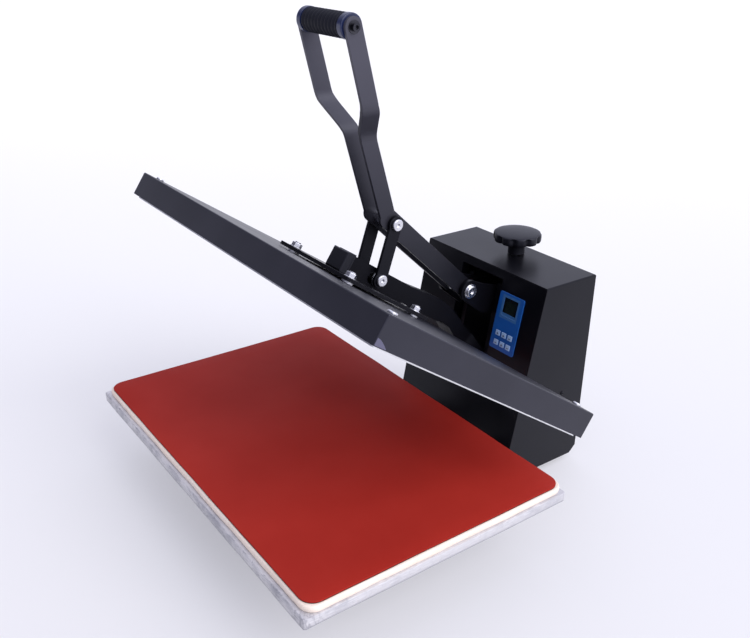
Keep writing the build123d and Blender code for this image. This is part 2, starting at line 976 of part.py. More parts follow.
def grip_sleeve():
    half = grip_half - grip_collar_length
    sleeve = bar(-half, half, grip_y, grip_z, grip_radius)
    pitch = 2 * half / grip_rib_count
    groove = grip_groove_width / 2
    for index in range(1, grip_rib_count):
        x = -half + index * pitch
        sleeve -= ring(x - groove, x + groove, grip_y, grip_z, grip_radius + past, grip_radius - grip_rib_depth)
    return sleeve - bore_x(-half, half, grip_y, grip_z, grip_rod_radius)


def grip_collars():
    start = grip_half - grip_collar_length
    collar = bar(start, grip_half, grip_y, grip_z, grip_collar_radius)
    collar = fillet(collar.edges().group_by(Axis.X)[-1], grip_collar_round)
    return both_sides(collar - bore_x(start, grip_half, grip_y, grip_z, grip_rod_radius))


def grip_rod():
    """Rod inside the grip, bored at both ends for the grip's screws."""
    rod = bar(-grip_half, grip_half, grip_y, grip_z, grip_rod_radius)
    rod -= bar(-grip_half - past, grip_screw_hole - grip_half, grip_y, grip_z, grip_screw_radius)
    rod -= bar(grip_half - grip_screw_hole, grip_half + past, grip_y, grip_z, grip_screw_radius)
    return rod


def grip_screws():
    start = splay_outside
    seat = start + grip_washer_thickness
    end = seat + grip_screw_head_height
    screw = bar(grip_half - grip_screw_grip, seat, grip_y, grip_z, grip_screw_radius)
    screw += bar(seat, end, grip_y, grip_z, grip_screw_head)
    screw -= hexagon(end - grip_socket_depth, end + past, grip_y, grip_z, grip_socket_radius)
    washer = ring(start, seat, grip_y, grip_z, grip_washer_radius, grip_screw_radius)
    return both_sides(group(screw, washer))


def handle_spacers():
    """Tubes that hold the two bars apart on the pivot bolt and on the upper link bolt."""
    tubes = []
    for (y, z), radius in ((handle_point, handle_bolt_radius), (link_top, link_bolt_radius)):
        tubes.append(ring(-bar_inside, bar_inside, y, z, radius + handle_spacer_wall, radius + running_gap))
    return group(*tubes)


def pivot_bolt(y, z, radius, head_radius, seat):
    """Bolt along X with a round socket head on the right and a nut on the left."""
    bolt = bar(-seat - bolt_tail, seat, y, z, radius)
    head = bar(seat, seat + bolt_head_height, y, z, head_radius)
    head = chamfer(head.edges().group_by(Axis.X)[-1], bolt_head_chamfer)
    socket = hexagon(seat + socket_floor, seat + bolt_head_height + past, y, z, radius * socket_proportion)
    nut_end = -seat - radius * nut_proportion
    nut = hexagon(nut_end, -seat, y, z, head_radius) - bore_x(nut_end, -seat, y, z, radius)
    return group(bolt + head - socket, nut)


def handle_pivot_bolt():
    """Pivot bolt of the handle, with washers outside the fork and rings inside it."""
    y, z = handle_point
    bore = handle_bolt_radius + running_gap
    seat = fork_outside + pivot_washer_thickness
    washer = ring(fork_outside, seat, y, z, handle_bolt_head + pivot_washer_rim, bore)
    inner = ring(bar_outside + side_gap, fork_inside, y, z, handle_bolt_head, bore)
    bolt = pivot_bolt(y, z, handle_bolt_radius, handle_bolt_head, seat)
    return group(bolt, both_sides(washer), both_sides(inner))


# Links
def upper_link_bolt():
    """This bolt stays with the handle, so both links clear its head and nut."""
    return pivot_bolt(*link_top, link_bolt_radius, link_bolt_head, link_outside + side_gap)


def link_plate():
    outline = strip([link_top, link_seat], [link_width])
    for y, z in (link_top, link_seat):
        outline += Pos(y, z) * Circle(link_eye)
    plate = side_plate(outline, link_inside, link_outside)
    for y, z in (link_top, link_seat):
        plate -= bore_x(link_inside, link_outside, y, z, link_bolt_radius + running_gap)
    return plate


def lower_link_bolt():
    """This bolt stays with the links and runs through the slot in the arm."""
    y, z = link_seat
    spacer = ring(arm_outside + link_gap, link_inside, y, z, link_eye, link_bolt_radius + running_gap)
    return group(pivot_bolt(y, z, link_bolt_radius, link_bolt_head, link_outside), both_sides(spacer))


# Swinging arm
def arm_profile():
    """Side outline of the arm while closed: straight over the platen, then down to the hinge."""
    eye = hinge_height - arm_bottom
    outline = polygon(
        (arm_front, 0),
        (arm_front, arm_height),
        *arm_top_line,
        (hinge_along, eye + hinge_eye),
        (hinge_along, eye - hinge_eye),
        *arm_bottom_line,
    )
    outline = fillet([v for v in outline.vertices() if arm_front + past < v.X < hinge_along - past], arm_round)
    outline += Pos(hinge_along, eye) * Circle(hinge_eye)
    return Pos(cover_front, cover_bottom + arm_bottom) * outline


def pin_slot():
    """Cutting tool for the slot that the link's lower bolt runs in."""
    return seat_room(link_bolt_radius, -arm_outside - past, arm_outside + past)


def arm_sides():
    """Side plates of the arm, bent outwards behind the platen to reach the uprights."""
    edge = bent_strip(
        (arm_inside, eye_inside),
        (cover_front + flare_start, cover_front + flare_end),
        (cover_front, case_back),
        arm_sheet,
    )
    side = side_plate(arm_profile(), 0, eye_outside) & extrude(Plane.XY * edge, amount=case_top)
    side = opened(side) - pin_slot()
    return both_sides(side - bore_x(0, eye_outside, hinge_y, hinge_z, axle_radius + running_gap))


def arm_web_box():
    """Walls between the arm's side plates: top, bottom and neck, from the end cap to the bend."""
    outline = arm_profile()
    walls = side_plate(outline - offset(outline, amount=-arm_web), -arm_inside, arm_inside)
    start = arm_front + end_cap_tongue
    return opened(walls & closed_block(-arm_inside, arm_inside, start, flare_start, 0, case_top)) - pin_slot()


def hinge_tube():
    return ring(
        -eye_inside, eye_inside, hinge_y, hinge_z, axle_radius + hinge_tube_wall, axle_radius + running_gap
    )


def arm_end_cap():
    """Moulded cap over the arm's front end, with a ridge at its back edge and a tongue inside."""
    half = arm_outside + end_cap_wall
    rear = arm_front + end_cap_reach
    cap = closed_block(-half, half, arm_front - end_cap_nose, rear, arm_bottom, arm_top + end_cap_wall)
    cap = fillet(cap.edges().group_by(Axis.Y)[0], end_cap_round)
    ridge = half + end_cap_ridge_proud
    cap += closed_block(
        -ridge, ridge, rear - end_cap_ridge, rear, arm_bottom, arm_top + end_cap_wall + end_cap_ridge_proud
    )
    cap -= closed_block(-arm_outside, arm_outside, arm_front, rear + past, arm_bottom - past, arm_top)
    tongue = closed_block(
        case_fit - arm_inside, arm_inside - case_fit, arm_front, arm_front + end_cap_tongue,
        arm_bottom + arm_web, arm_top - arm_web,
    )
    return opened(cap + tongue)


# Upper platen
stud_places = [
    (side * stud_spread / 2, along) for side in (-1, 1) for along in (stud_front, stud_front + stud_pitch)
]
cover_screw_places = [
    (side * (half_cover - cover_screw_inset_x), along)
    for side in (-1, 1)
    for along in (cover_screw_inset_y, cover_length - cover_screw_inset_y)
]


def cover():
    outer = closed_block(-half_cover, half_cover, 0, cover_length, 0, cover_height)
    outer = fillet(outer.edges().filter_by(Axis.Z) + outer.edges().group_by(Axis.Z)[-1], cover_bend)
    inner = closed_block(
        cover_sheet - half_cover, half_cover - cover_sheet, cover_sheet, cover_length - cover_sheet,
        -past, cover_inside,
    )
    shell = outer - inner
    for x, along in stud_places:
        shell -= closed_bore(x, along, cover_inside, cover_height, stud_radius + bolt_gap)
    for x, along in cover_screw_places:
        shell -= closed_bore(x, along, cover_inside, cover_height, cover_screw_radius + bolt_gap)
    shell -= closed_bore(gland_x, gland_along, cover_inside, cover_height, gland_throat_radius + bolt_gap)
    return opened(shell)


def heat_plate():
    half = half_cover - heat_plate_inset
    plate = closed_block(
        -half, half, heat_plate_inset, cover_length - heat_plate_inset, -heat_plate_proud, heat_plate_top
    )
    plate = fillet(plate.edges().filter_by(Axis.Z), heat_plate_corner)
    for x, along in stud_places:
        plate -= closed_post(x, along, 0, heat_plate_top + past, stud_radius + bolt_gap)
    for x, along in cover_screw_places:
        plate -= closed_post(x, along, 0, heat_plate_top + past, cover_screw_radius + bolt_gap)
    return opened(plate)


def heating_element():
    """Tubular heater that folds back and forth over the heat plate, clear of the studs."""
    pitch = stud_pitch / 2
    first = cover_front + stud_front - pitch * 1.5
    reach = half_cover - element_inset
    height = cover_bottom + heat_plate_top + element_radius
    lines = []
    for index in range(element_runs):
        y = first + index * pitch
        end = reach if index % 2 == 0 else -reach
        lines.append(Line((-end, y, height), (end, y, height)))
        if index < element_runs - 1:
            bulge = end + (pitch / 2 if end > 0 else -pitch / 2)
            lines.append(
                ThreePointArc((end, y, height), (bulge, y + pitch / 2, height), (end, y + pitch, height))
            )
    path = Wire(lines)
    start = Plane(origin=path @ 0, z_dir=path % 0)
    return opened(sweep(start * Circle(element_radius), path=path))


def insulation():
    bottom = heat_plate_top + 2 * element_radius
    board = closed_block(
        insulation_inset - half_cover, half_cover - insulation_inset,
        insulation_inset, cover_length - insulation_inset, bottom, cover_inside,
    )
    for x, along in stud_places:
        board -= closed_bore(x, along, bottom, cover_inside, stud_radius + insulation_gap)
    return opened(board - closed_bore(gland_x, gland_along, bottom, cover_inside, gland_room))


def mounting_plate():
    """Plate under the arm, with a shallow scoop on each side under the link's lower end."""
    half = mount_plate_width / 2
    plate = closed_block(
        -half, half, mount_plate_front, mount_plate_front + mount_plate_length,
        mount_plate_bottom, arm_bottom,
    )
    plate = fillet(plate.edges().filter_by(Axis.Z), mount_plate_corner)
    for x, along in stud_places:
        plate -= closed_bore(x, along, mount_plate_bottom, arm_bottom, stud_radius + bolt_gap)
    scoop = seat_room(link_eye, arm_outside, link_nut_end + side_gap)
    return opened(plate) - both_sides(scoop)


def platen_studs():
    """Studs screwed into the heat plate, each with a spacer between cover and mounting plate."""
    tip = arm_bottom + stud_washer_thickness + stud_nut_height + stud_tip
    pieces = []
    for x, along in stud_places:
        spacer = closed_post(x, along, cover_height, mount_plate_bottom, stud_radius + stud_spacer_wall)
        spacer -= closed_bore(x, along, cover_height, mount_plate_bottom, stud_radius)
        pieces += [closed_post(x, along, stud_foot_gap, tip, stud_radius), spacer]
    return opened(group(*pieces))


def stud_nuts():
    base = arm_bottom + stud_washer_thickness
    top = base + stud_nut_height
    pieces = []
    for x, along in stud_places:
        place = Pos(x, cover_front + along, cover_bottom + base)
        nut = extrude(place * RegularPolygon(stud_nut_radius, 6), amount=stud_nut_height)
        washer = closed_post(x, along, arm_bottom, base, stud_washer_radius)
        bore = closed_bore(x, along, arm_bottom, top, stud_radius)
        pieces += [washer - bore, nut - bore]
    return opened(group(*pieces))


def cover_screws():
    """Pillars between heat plate and cover, with the screws that hold the cover down."""
    head_top = cover_height + cover_screw_head_height
    pieces = []
    for x, along in cover_screw_places:
        pillar = closed_post(x, along, heat_plate_top, cover_inside, cover_screw_radius + pillar_wall)
        pillar -= closed_bore(x, along, heat_plate_top, cover_inside, cover_screw_radius)
        head = closed_post(x, along, cover_height, head_top, cover_screw_head)
        head = fillet(head.edges().group_by(Axis.Z)[-1], cover_screw_round)
        shank = closed_post(x, along, stud_foot_gap, cover_height, cover_screw_radius)
        pieces += [pillar, shank + head]
    return opened(group(*pieces))


def lead_gland():
    """Gland on the cover's top where the heater lead goes in."""
    low = cover_inside - gland_reach
    middle = cover_height + gland_nut_height
    top = middle + gland_dome_height
    place = Pos(gland_x, cover_front + gland_along, cover_bottom + cover_height)
    body = extrude(place * RegularPolygon(gland_nut_radius, 6), amount=gland_nut_height)
    dome = closed_post(gland_x, gland_along, middle, top, gland_dome_radius)
    body += fillet(dome.edges().group_by(Axis.Z)[-1], gland_dome_round)
    body += closed_post(gland_x, gland_along, low, cover_height, gland_throat_radius)
    return opened(body - closed_bore(gland_x, gland_along, low, top, gland_bore))


# Control panel
key_places = {}
for row_name, row_z in (("upper", key_row_upper), ("lower", key_row_lower)):
    for column, column_name in enumerate(("left", "middle", "right")):
        key_x = panel_centre_x + (column - 1) * key_pitch
        key_places[f"key_{row_name}_{column_name}"] = (key_x, row_z)
body_back = -case_wall - panel_back
key_flange_top = body_back - key_gap
key_flange_bottom = key_flange_top - key_flange_thickness


def display_panel():
    half = panel_width / 2
    panel = slope_block(
        panel_centre_x - half, panel_centre_x + half, panel_centre_z, panel_height, 0, panel_thickness
    )
    corners = panel.edges().filter_by(lambda edge: edge.length < 2 * panel_thickness)
    panel = fillet(corners, panel_corner)
    inner = half - panel_body_inset - case_fit
    panel += slope_block(
        panel_centre_x - inner, panel_centre_x + inner, panel_centre_z,
        panel_height - 2 * (panel_body_inset + case_fit), body_back, 0,
    )
    low = body_back - past
    high = panel_thickness + past
    reach = display_width / 2
    panel -= slope_block(
        panel_centre_x - reach, panel_centre_x + reach, display_centre_z, display_height, low, high
    )
    reach = key_width / 2 + key_gap
    for x, z in key_places.values():
        panel -= slope_block(x - reach, x + reach, z, key_height + 2 * key_gap, low, high)
    return panel


def lcd_window():
    half = display_width / 2
    return slope_block(
        panel_centre_x - half, panel_centre_x + half, display_centre_z, display_height,
        -case_wall, panel_thickness - display_recess,
    )


def key_cap(x, z):
    """Push key that slides square to the sloping panel, with a flange behind it."""
    half = key_width / 2
    rim = half + key_flange
    cap = slope_block(x - half, x + half, z, key_height, key_flange_top, panel_thickness + key_proud)
    return cap + slope_block(
        x - rim, x + rim, z, key_height + 2 * key_flange, key_flange_bottom, key_flange_top
    )


def display_board():
    """Circuit board on four pillars behind the panel, with a tactile switch under each key."""
    half = panel_width / 2 - panel_body_inset - board_inset
    height = panel_height - 2 * (panel_body_inset + board_inset)
    top = -board_depth
    board = slope_block(
        panel_centre_x - half, panel_centre_x + half, panel_centre_z, height, top - board_thickness, top
    )
    pieces = [board]
    reach = key_switch / 2
    for x, z in key_places.values():
        pieces.append(
            slope_block(x - reach, x + reach, z, key_switch, top, key_flange_bottom - key_travel - key_gap)
        )
    reach = board_pillar / 2
    for side in (-1, 1):
        for end in (-1, 1):
            x = panel_centre_x + side * (half - reach)
            z = panel_centre_z + end * (height - board_pillar) / 2 * slope_cos
            pieces.append(slope_block(x - reach, x + reach, z, board_pillar, top, body_back))
    return group(*pieces)


# Electrics inside the box
def standing_block(x, y, width, length, z0, z1):
    return block(x - width / 2, x + width / 2, y - length / 2, y + length / 2, z0, z1)


def transformer():
    middle = frame_bottom + core_height / 2
    core = standing_block(
        transformer_x, transformer_y, core_width, core_length, frame_bottom, frame_bottom + core_height
    )
    coil = standing_block(
        transformer_x, transformer_y, coil_width, coil_length,
        middle - coil_height / 2, middle + coil_height / 2,
    )
    return fillet((core + coil).edges().filter_by(Axis.Z), transformer_round)


def relay():
    body = standing_block(
        relay_x, relay_y, relay_width, relay_length, frame_bottom, frame_bottom + relay_height
    )
    return fillet(body.edges().filter_by(Axis.Z), relay_round)


def power_inlet():
    outside = case_back + inlet_flange
    housing = back_block(inlet_x, inlet_z, inlet_width, inlet_height, case_back, outside)
    housing = fillet(housing.edges().filter_by(Axis.Y), inlet_corner)
    housing += back_block(
        inlet_x, inlet_z, inlet_body_width, inlet_body_height, case_back - inlet_depth, case_back
    )
    floor = outside - socket_depth
    housing -= back_block(inlet_x, inlet_z, socket_width, socket_height, floor, outside + past)
    for shift, rise in ((-pin_spread, pin_low), (pin_spread, pin_low), (0, pin_high)):
        housing += back_block(
            inlet_x + shift, inlet_z + rise, pin_width, pin_height, floor, case_back - pin_recess
        )
    return housing


def switch_housing():
    housing = back_block(switch_x, switch_z, switch_width, switch_height, case_back, switch_face)
    housing = fillet(housing.edges().filter_by(Axis.Y), switch_corner)
    housing += back_block(
        switch_x, switch_z, switch_body_width, switch_body_height, case_back - switch_depth, case_back
    )
    room_width = rocker_width + 2 * rocker_gap
    room_height = rocker_height + 2 * rocker_gap
    housing -= back_block(
        switch_x, switch_z, room_width, room_height, case_back - rocker_room_depth, switch_face + past
    )
    reach = rocker_width / 2 + rocker_pin_reach + side_gap
    return housing - bar(
        switch_x - reach, switch_x + reach, rocker_axis_y, switch_z, rocker_pin_radius + running_gap
    )


def power_rocker():
    """Rocker with a shallow vee face, tilted so that its upper half stands out at rest."""
    half_x = rocker_width / 2
    half_z = rocker_height / 2 - rocker_gap
    tilt = radians(rocker_tilt)
    tip = (switch_face + rocker_proud - rocker_axis_y - half_z * sin(tilt)) / cos(tilt)
    outline = polygon(
        (rocker_axis_y - rocker_depth, switch_z - half_z + rocker_foot_inset),
        (rocker_axis_y + tip, switch_z - half_z),
        (rocker_axis_y + tip - rocker_vee, switch_z),
        (rocker_axis_y + tip, switch_z + half_z),
        (rocker_axis_y - rocker_depth, switch_z + half_z - rocker_foot_inset),
    )
    rocker = side_plate(outline, switch_x - half_x, switch_x + half_x)
    reach = half_x + rocker_pin_reach
    rocker += bar(switch_x - reach, switch_x + reach, rocker_axis_y, switch_z, rocker_pin_radius)
    return rocker.rotate(Axis((0, rocker_axis_y, switch_z), (1, 0, 0)), -rocker_tilt)


parts = {
    "rubber_feet": rubber_feet(),
    "foot_screws": foot_screws(),
    "base_rails": base_rails(),
    "rail_caps": rail_caps(),
    "cross_tubes": cross_tubes(),
    "platen_stand": group(platen_posts(), platen_bearers()),
    "lower_plate": lower_plate(),
    "plate_bolts": plate_bolts(),
    "foam_pad": foam_pad(),
    "silicone_mat": silicone_mat(),
    "box_shell": box_shell(),
    "front_panel": front_panel(),
    "floor_tray": floor_tray(),
    "mechanism_plate": mechanism_plate(),
    "uprights": both_sides(upright()),
    "top_bridge": top_bridge(),
    "bridge_screws": bridge_screws(),
    "hinge_axle": group(hinge_axle(), hinge_rings()),
    "fork_plates": fork_plates(),
    "nut_block": nut_block(),
    "handle_pivot_bolt": handle_pivot_bolt(),
    "spindle": spindle(),
    "knob": knob(),
    "right_handle_bar": handle_bar(),
    "left_handle_bar": mirror(handle_bar(), about=Plane.YZ),
    "grip_sleeve": grip_sleeve(),
    "grip_collars": grip_collars(),
    "grip_rod": grip_rod(),
    "grip_screws": grip_screws(),
    "handle_spacers": handle_spacers(),
    "upper_link_bolt": upper_link_bolt(),
    "right_link": link_plate(),
    "left_link": mirror(link_plate(), about=Plane.YZ),
    "lower_link_bolt": lower_link_bolt(),
    "arm_sides": arm_sides(),
    "arm_core": group(arm_web_box(), hinge_tube()),
    "arm_end_cap": arm_end_cap(),
    "mounting_plate": mounting_plate(),
    "platen_studs": platen_studs(),
    "stud_nuts": stud_nuts(),
    "cover": cover(),
    "insulation": insulation(),
    "heating_element": heating_element(),
    "heat_plate": heat_plate(),
    "cover_screws": cover_screws(),
    "lead_gland": lead_gland(),
    "display_panel": display_panel(),
    "lcd_window": lcd_window(),
    "display_board": display_board(),
    "transformer": transformer(),
    "relay": relay(),
    "power_inlet": power_inlet(),
    "switch_housing": switch_housing(),
    "power_rocker": power_rocker(),
}
for key_name, (key_x, key_z) in key_places.items():
    parts[key_name] = key_cap(key_x, key_z)

os.makedirs("parts", exist_ok=True)
for name, shape in parts.items():
    export_step(shape, f"parts/{name}.step")
print(len(parts), "nodes, handle turns", round(handle_turn, 3), "link leans", round(link_lean, 3))
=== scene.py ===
import json
import math
import bpy
from mathutils import Matrix, Vector


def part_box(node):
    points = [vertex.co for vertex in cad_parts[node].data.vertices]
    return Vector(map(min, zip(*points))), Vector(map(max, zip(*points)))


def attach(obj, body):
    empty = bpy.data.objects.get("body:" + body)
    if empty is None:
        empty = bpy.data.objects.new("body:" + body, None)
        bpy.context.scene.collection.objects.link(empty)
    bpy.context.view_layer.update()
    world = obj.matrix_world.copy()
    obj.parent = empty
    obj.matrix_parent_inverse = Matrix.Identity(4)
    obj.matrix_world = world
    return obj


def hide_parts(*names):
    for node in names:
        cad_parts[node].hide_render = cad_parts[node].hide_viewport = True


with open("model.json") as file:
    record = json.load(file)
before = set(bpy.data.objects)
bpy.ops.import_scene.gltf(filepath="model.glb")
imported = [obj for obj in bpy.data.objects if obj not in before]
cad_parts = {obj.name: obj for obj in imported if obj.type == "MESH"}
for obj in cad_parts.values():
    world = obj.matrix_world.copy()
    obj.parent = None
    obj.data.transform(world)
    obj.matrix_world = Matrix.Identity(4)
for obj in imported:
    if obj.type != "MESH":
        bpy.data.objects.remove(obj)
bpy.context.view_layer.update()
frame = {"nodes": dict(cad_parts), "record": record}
nodes = frame["nodes"]
slotOf = {row["node"]: row["material_slot"] for row in frame["record"]["subparts"]}
bodyOf = {name: body for body, names in frame["record"]["behaviour"]["bodies"].items() for name in names}
keyNames = [name for name in bodyOf if name.startswith("key_")]
tiny = 1e-6
print("frame loaded,", len(nodes), "nodes")


# Shader maths, written as plain expressions on sockets

class Wire:
    def __init__(self, paint, socket):
        self.paint = paint
        self.socket = socket

    def maths(self, operation, *terms):
        return self.paint.node("ShaderNodeMath", {"operation": operation}, dict(enumerate(terms)))

    def __add__(self, other):
        return self.maths("ADD", self, other)

    def __radd__(self, other):
        return self.maths("ADD", other, self)

    def __sub__(self, other):
        return self.maths("SUBTRACT", self, other)

    def __rsub__(self, other):
        return self.maths("SUBTRACT", other, self)

    def __mul__(self, other):
        return self.maths("MULTIPLY", self, other)

    def __rmul__(self, other):
        return self.maths("MULTIPLY", other, self)

    def __abs__(self):
        return self.maths("ABSOLUTE", self)


class Paint:
    def __init__(self, name):
        self.material = bpy.data.materials.new(name)
        self.material.use_nodes = True
        self.tree = self.material.node_tree
        self.shader = self.tree.nodes["Principled BSDF"]

    def node(self, kind, settings, values, output=0):
        new = self.tree.nodes.new(kind)
        for name, value in settings.items():
            setattr(new, name, value)
        for name, value in values.items():
            self.feed(new.inputs[name], value)
        return Wire(self, new.outputs[output])

    def feed(self, socket, value):
        if isinstance(value, Wire):
            self.tree.links.new(value.socket, socket)
        else:
            socket.default_value = value

    def set(self, **values):
        for name, value in values.items():
            self.feed(self.shader.inputs[socketNames[name]], colour(value))

    def here(self):
        return self.node("ShaderNodeTexCoord", {}, {}, "Object")

    def axis(self, name):  # one coordinate of the surface, in metres
        return self.node("ShaderNodeSeparateXYZ", {}, {"Vector": self.here()}, name)

    def place(self, stretch):
        return self.node("ShaderNodeMapping", {}, {"Vector": self.here(), "Scale": stretch})

    def noise(self, scale, detail, roughness=0.5, stretch=(1, 1, 1)):
        values = {"Vector": self.place(stretch), "Scale": scale, "Detail": detail, "Roughness": roughness}
        return self.node("ShaderNodeTexNoise", {}, values)

    def cells(self, scale):
        return self.node("ShaderNodeTexVoronoi", {}, {"Vector": self.place((1, 1, 1)), "Scale": scale})

    def ramp(self, value, low, high):  # 0 up to low, 1 from high on
        values = {"Value": value, "From Min": low, "From Max": high}
        return self.node("ShaderNodeMapRange", {"clamp": True}, values)

    def veins(self, width, *noise):  # 1 on thin lines, where the noise passes its middle
        return 1 - self.ramp(abs(self.noise(*noise) - 0.5), 0.0, width)

    def patch(self, centre, half, soft):  # 1 inside a rectangle seen from the front, 0 outside
        mask = 1
        for name, middle, reach in zip("XZ", centre, half):
            mask = (1 - self.ramp(abs(self.axis(name) - middle), reach - soft, reach + soft)) * mask
        return mask

    def mix(self, share, first, second):
        values = {0: share, 6: colour(first), 7: colour(second)}
        return self.node("ShaderNodeMix", {"data_type": "RGBA"}, values, 2)

    def vary(self, value, wave, amount):
        return value + (wave - 0.5) * amount

    def bump(self, height, strength, depth):
        values = {"Strength": strength, "Distance": depth, "Height": height}
        self.feed(self.shader.inputs["Normal"], self.node("ShaderNodeBump", {}, values))


class Sky(Paint):
    def __init__(self, name):
        self.world = bpy.data.worlds.new(name)
        self.world.use_nodes = True
        self.tree = self.world.node_tree
        self.shader = self.tree.nodes["Background"]


socketNames = {
    "base": "Base Color",
    "glow": "Emission Color",
    "glowStrength": "Emission Strength",
    "sky": "Color",
    "skyStrength": "Strength",
    "roughness": "Roughness",
    "metallic": "Metallic",
    "specular": "Specular IOR Level",
    "specularTint": "Specular Tint",
    "coat": "Coat Weight",
    "coatRoughness": "Coat Roughness",
}


def colour(value):
    return (*value, 1.0) if isinstance(value, tuple) else value


# Finishes. A noise has a scale and a detail, then perhaps a roughness and a stretch.
# A range says where a ramp starts and ends, and a bump has a strength and a depth.

coatLook = {
    "base": (0.0030, 0.0029, 0.0046),
    "worn": (0.0046, 0.0044, 0.0066),
    "speck": (0.05, 0.05, 0.06),
    "tint": (0.84, 0.86, 1.0),
    "roughness": 0.34,
    "vary": 0.12,
    "cloud": (14.0, 4.0),
    "peel": (900.0, 2.0),
    "specks": (2600.0, 1.0),
    "wornRange": (0.35, 0.7),
    "speckRange": (0.68, 0.74),
    "speckShare": 0.15,
    "wander": 0.05,
    "bump": (0.35, 0.00006),
}


def coatPaint(name, lift=0.0, tone=1.0, shine=0.22, litTop=None):  # black powder coat
    paint = Paint(name)
    base, worn = (tuple(part * tone for part in coatLook[key]) for key in ("base", "worn"))
    cloud = paint.noise(*coatLook["cloud"])
    specks = paint.ramp(paint.noise(*coatLook["specks"]), *coatLook["speckRange"])
    base = paint.mix(paint.ramp(cloud, *coatLook["wornRange"]), base, worn)
    base = paint.mix(specks * coatLook["speckShare"], base, coatLook["speck"])
    if litTop:  # painted lighter towards the top, a painted highlight for the light that falls on the upper part
        height = paint.vary(paint.axis("Z"), cloud, coatLook["wander"])
        base = paint.mix(paint.ramp(height, *litTop["range"]), base, litTop["pale"])
    roughness = paint.vary(coatLook["roughness"] + lift, cloud, coatLook["vary"])
    paint.set(base=base, roughness=roughness, specular=shine, specularTint=coatLook["tint"])
    paint.bump(paint.noise(*coatLook["peel"]), *coatLook["bump"])
    return paint.material


plasticLook = {
    "base": (0.0065, 0.0066, 0.0095),
    "light": (0.010, 0.010, 0.014),
    "roughness": 0.42,
    "vary": 0.1,
    "specular": 0.32,
    "cloud": (30.0, 3.0),
    "grain": (1500.0, 3.0),
    "bump": (0.5, 0.00008),
}


def blackPlasticPaint():
    paint = Paint("blackPlastic")
    cloud = paint.noise(*plasticLook["cloud"])
    base = paint.mix(cloud, plasticLook["base"], plasticLook["light"])
    roughness = paint.vary(plasticLook["roughness"], cloud, plasticLook["vary"])
    paint.set(base=base, roughness=roughness, specular=plasticLook["specular"], specularTint=coatLook["tint"])
    paint.bump(paint.noise(*plasticLook["grain"]), *plasticLook["bump"])
    return paint.material


rubberLook = {
    "roughness": 0.68,
    "vary": 0.15,
    "specular": 0.3,
    "cloud": (45.0, 3.0),
    "grain": (1100.0, 4.0),
    "bump": (0.5, 0.00012),
}


def rubberPaint(name, base, light):
    paint = Paint(name)
    cloud = paint.noise(*rubberLook["cloud"])
    roughness = paint.vary(rubberLook["roughness"], cloud, rubberLook["vary"])
    paint.set(base=paint.mix(cloud, base, light), roughness=roughness, specular=rubberLook["specular"])
    paint.bump(paint.noise(*rubberLook["grain"]), *rubberLook["bump"])
    return paint.material


siliconeLook = {
    "base": (0.425, 0.0290, 0.0190),
    "deep": (0.345, 0.0200, 0.0130),
    "speck": (0.50, 0.06, 0.04),
    "sideTone": (0.035, 0.003, 0.003),
    "roughness": 0.56,
    "vary": 0.2,
    "specular": 0.08,
    "cloud": (5.0, 4.0),
    "grain": (1400.0, 3.0),
    "specks": (900.0, 2.0),
    "deepRange": (0.3, 0.7),
    "speckRange": (0.70, 0.78),
    "speckShare": 0.2,
    "rimRange": (-0.0016, -0.0008),
    "rimShare": 0.95,
    "grainHeight": 0.6,
    "cloudHeight": 0.4,
    "bump": (0.35, 0.0001),
}


def siliconePaint():
    paint = Paint("redSilicone")
    cloud = paint.noise(*siliconeLook["cloud"])
    grain = paint.noise(*siliconeLook["grain"])
    specks = paint.ramp(paint.noise(*siliconeLook["specks"]), *siliconeLook["speckRange"])
    base = paint.mix(paint.ramp(cloud, *siliconeLook["deepRange"]), siliconeLook["base"], siliconeLook["deep"])
    base = paint.mix(specks * siliconeLook["speckShare"], base, siliconeLook["speck"])
    low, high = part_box("silicone_mat")
    rim = 1 - paint.ramp(paint.axis("Z") - high.z, *siliconeLook["rimRange"])
    base = paint.mix(rim * siliconeLook["rimShare"], base, siliconeLook["sideTone"])  # the sides are darker than the top face
    roughness = paint.vary(siliconeLook["roughness"], cloud, siliconeLook["vary"])
    paint.set(base=base, roughness=roughness, specular=siliconeLook["specular"])
    height = grain * siliconeLook["grainHeight"] + cloud * siliconeLook["cloudHeight"]
    paint.bump(height, *siliconeLook["bump"])
    return paint.material


foamLook = {
    "base": (0.90, 0.76, 0.64),
    "pale": (0.92, 0.82, 0.73),
    "hole": (0.70, 0.56, 0.45),
    "roughness": 0.9,
    "specular": 0.2,
    "cloud": (20.0, 4.0),
    "cellScale": 700.0,
    "paleRange": (0.3, 0.7),
    "holeRange": (0.0, 0.5),
    "holeShare": 0.3,
    "bump": (0.6, 0.0004),
}


def foamPaint():
    paint = Paint("foam")
    cells = paint.cells(foamLook["cellScale"])
    cloud = paint.noise(*foamLook["cloud"])
    holes = 1 - paint.ramp(cells, *foamLook["holeRange"])
    base = paint.mix(paint.ramp(cloud, *foamLook["paleRange"]), foamLook["base"], foamLook["pale"])
    # painted shade in the foam's pores
    base = paint.mix(holes * foamLook["holeShare"], base, foamLook["hole"])
    paint.set(base=base, roughness=foamLook["roughness"], specular=foamLook["specular"])
    paint.bump(cells, *foamLook["bump"])
    return paint.material


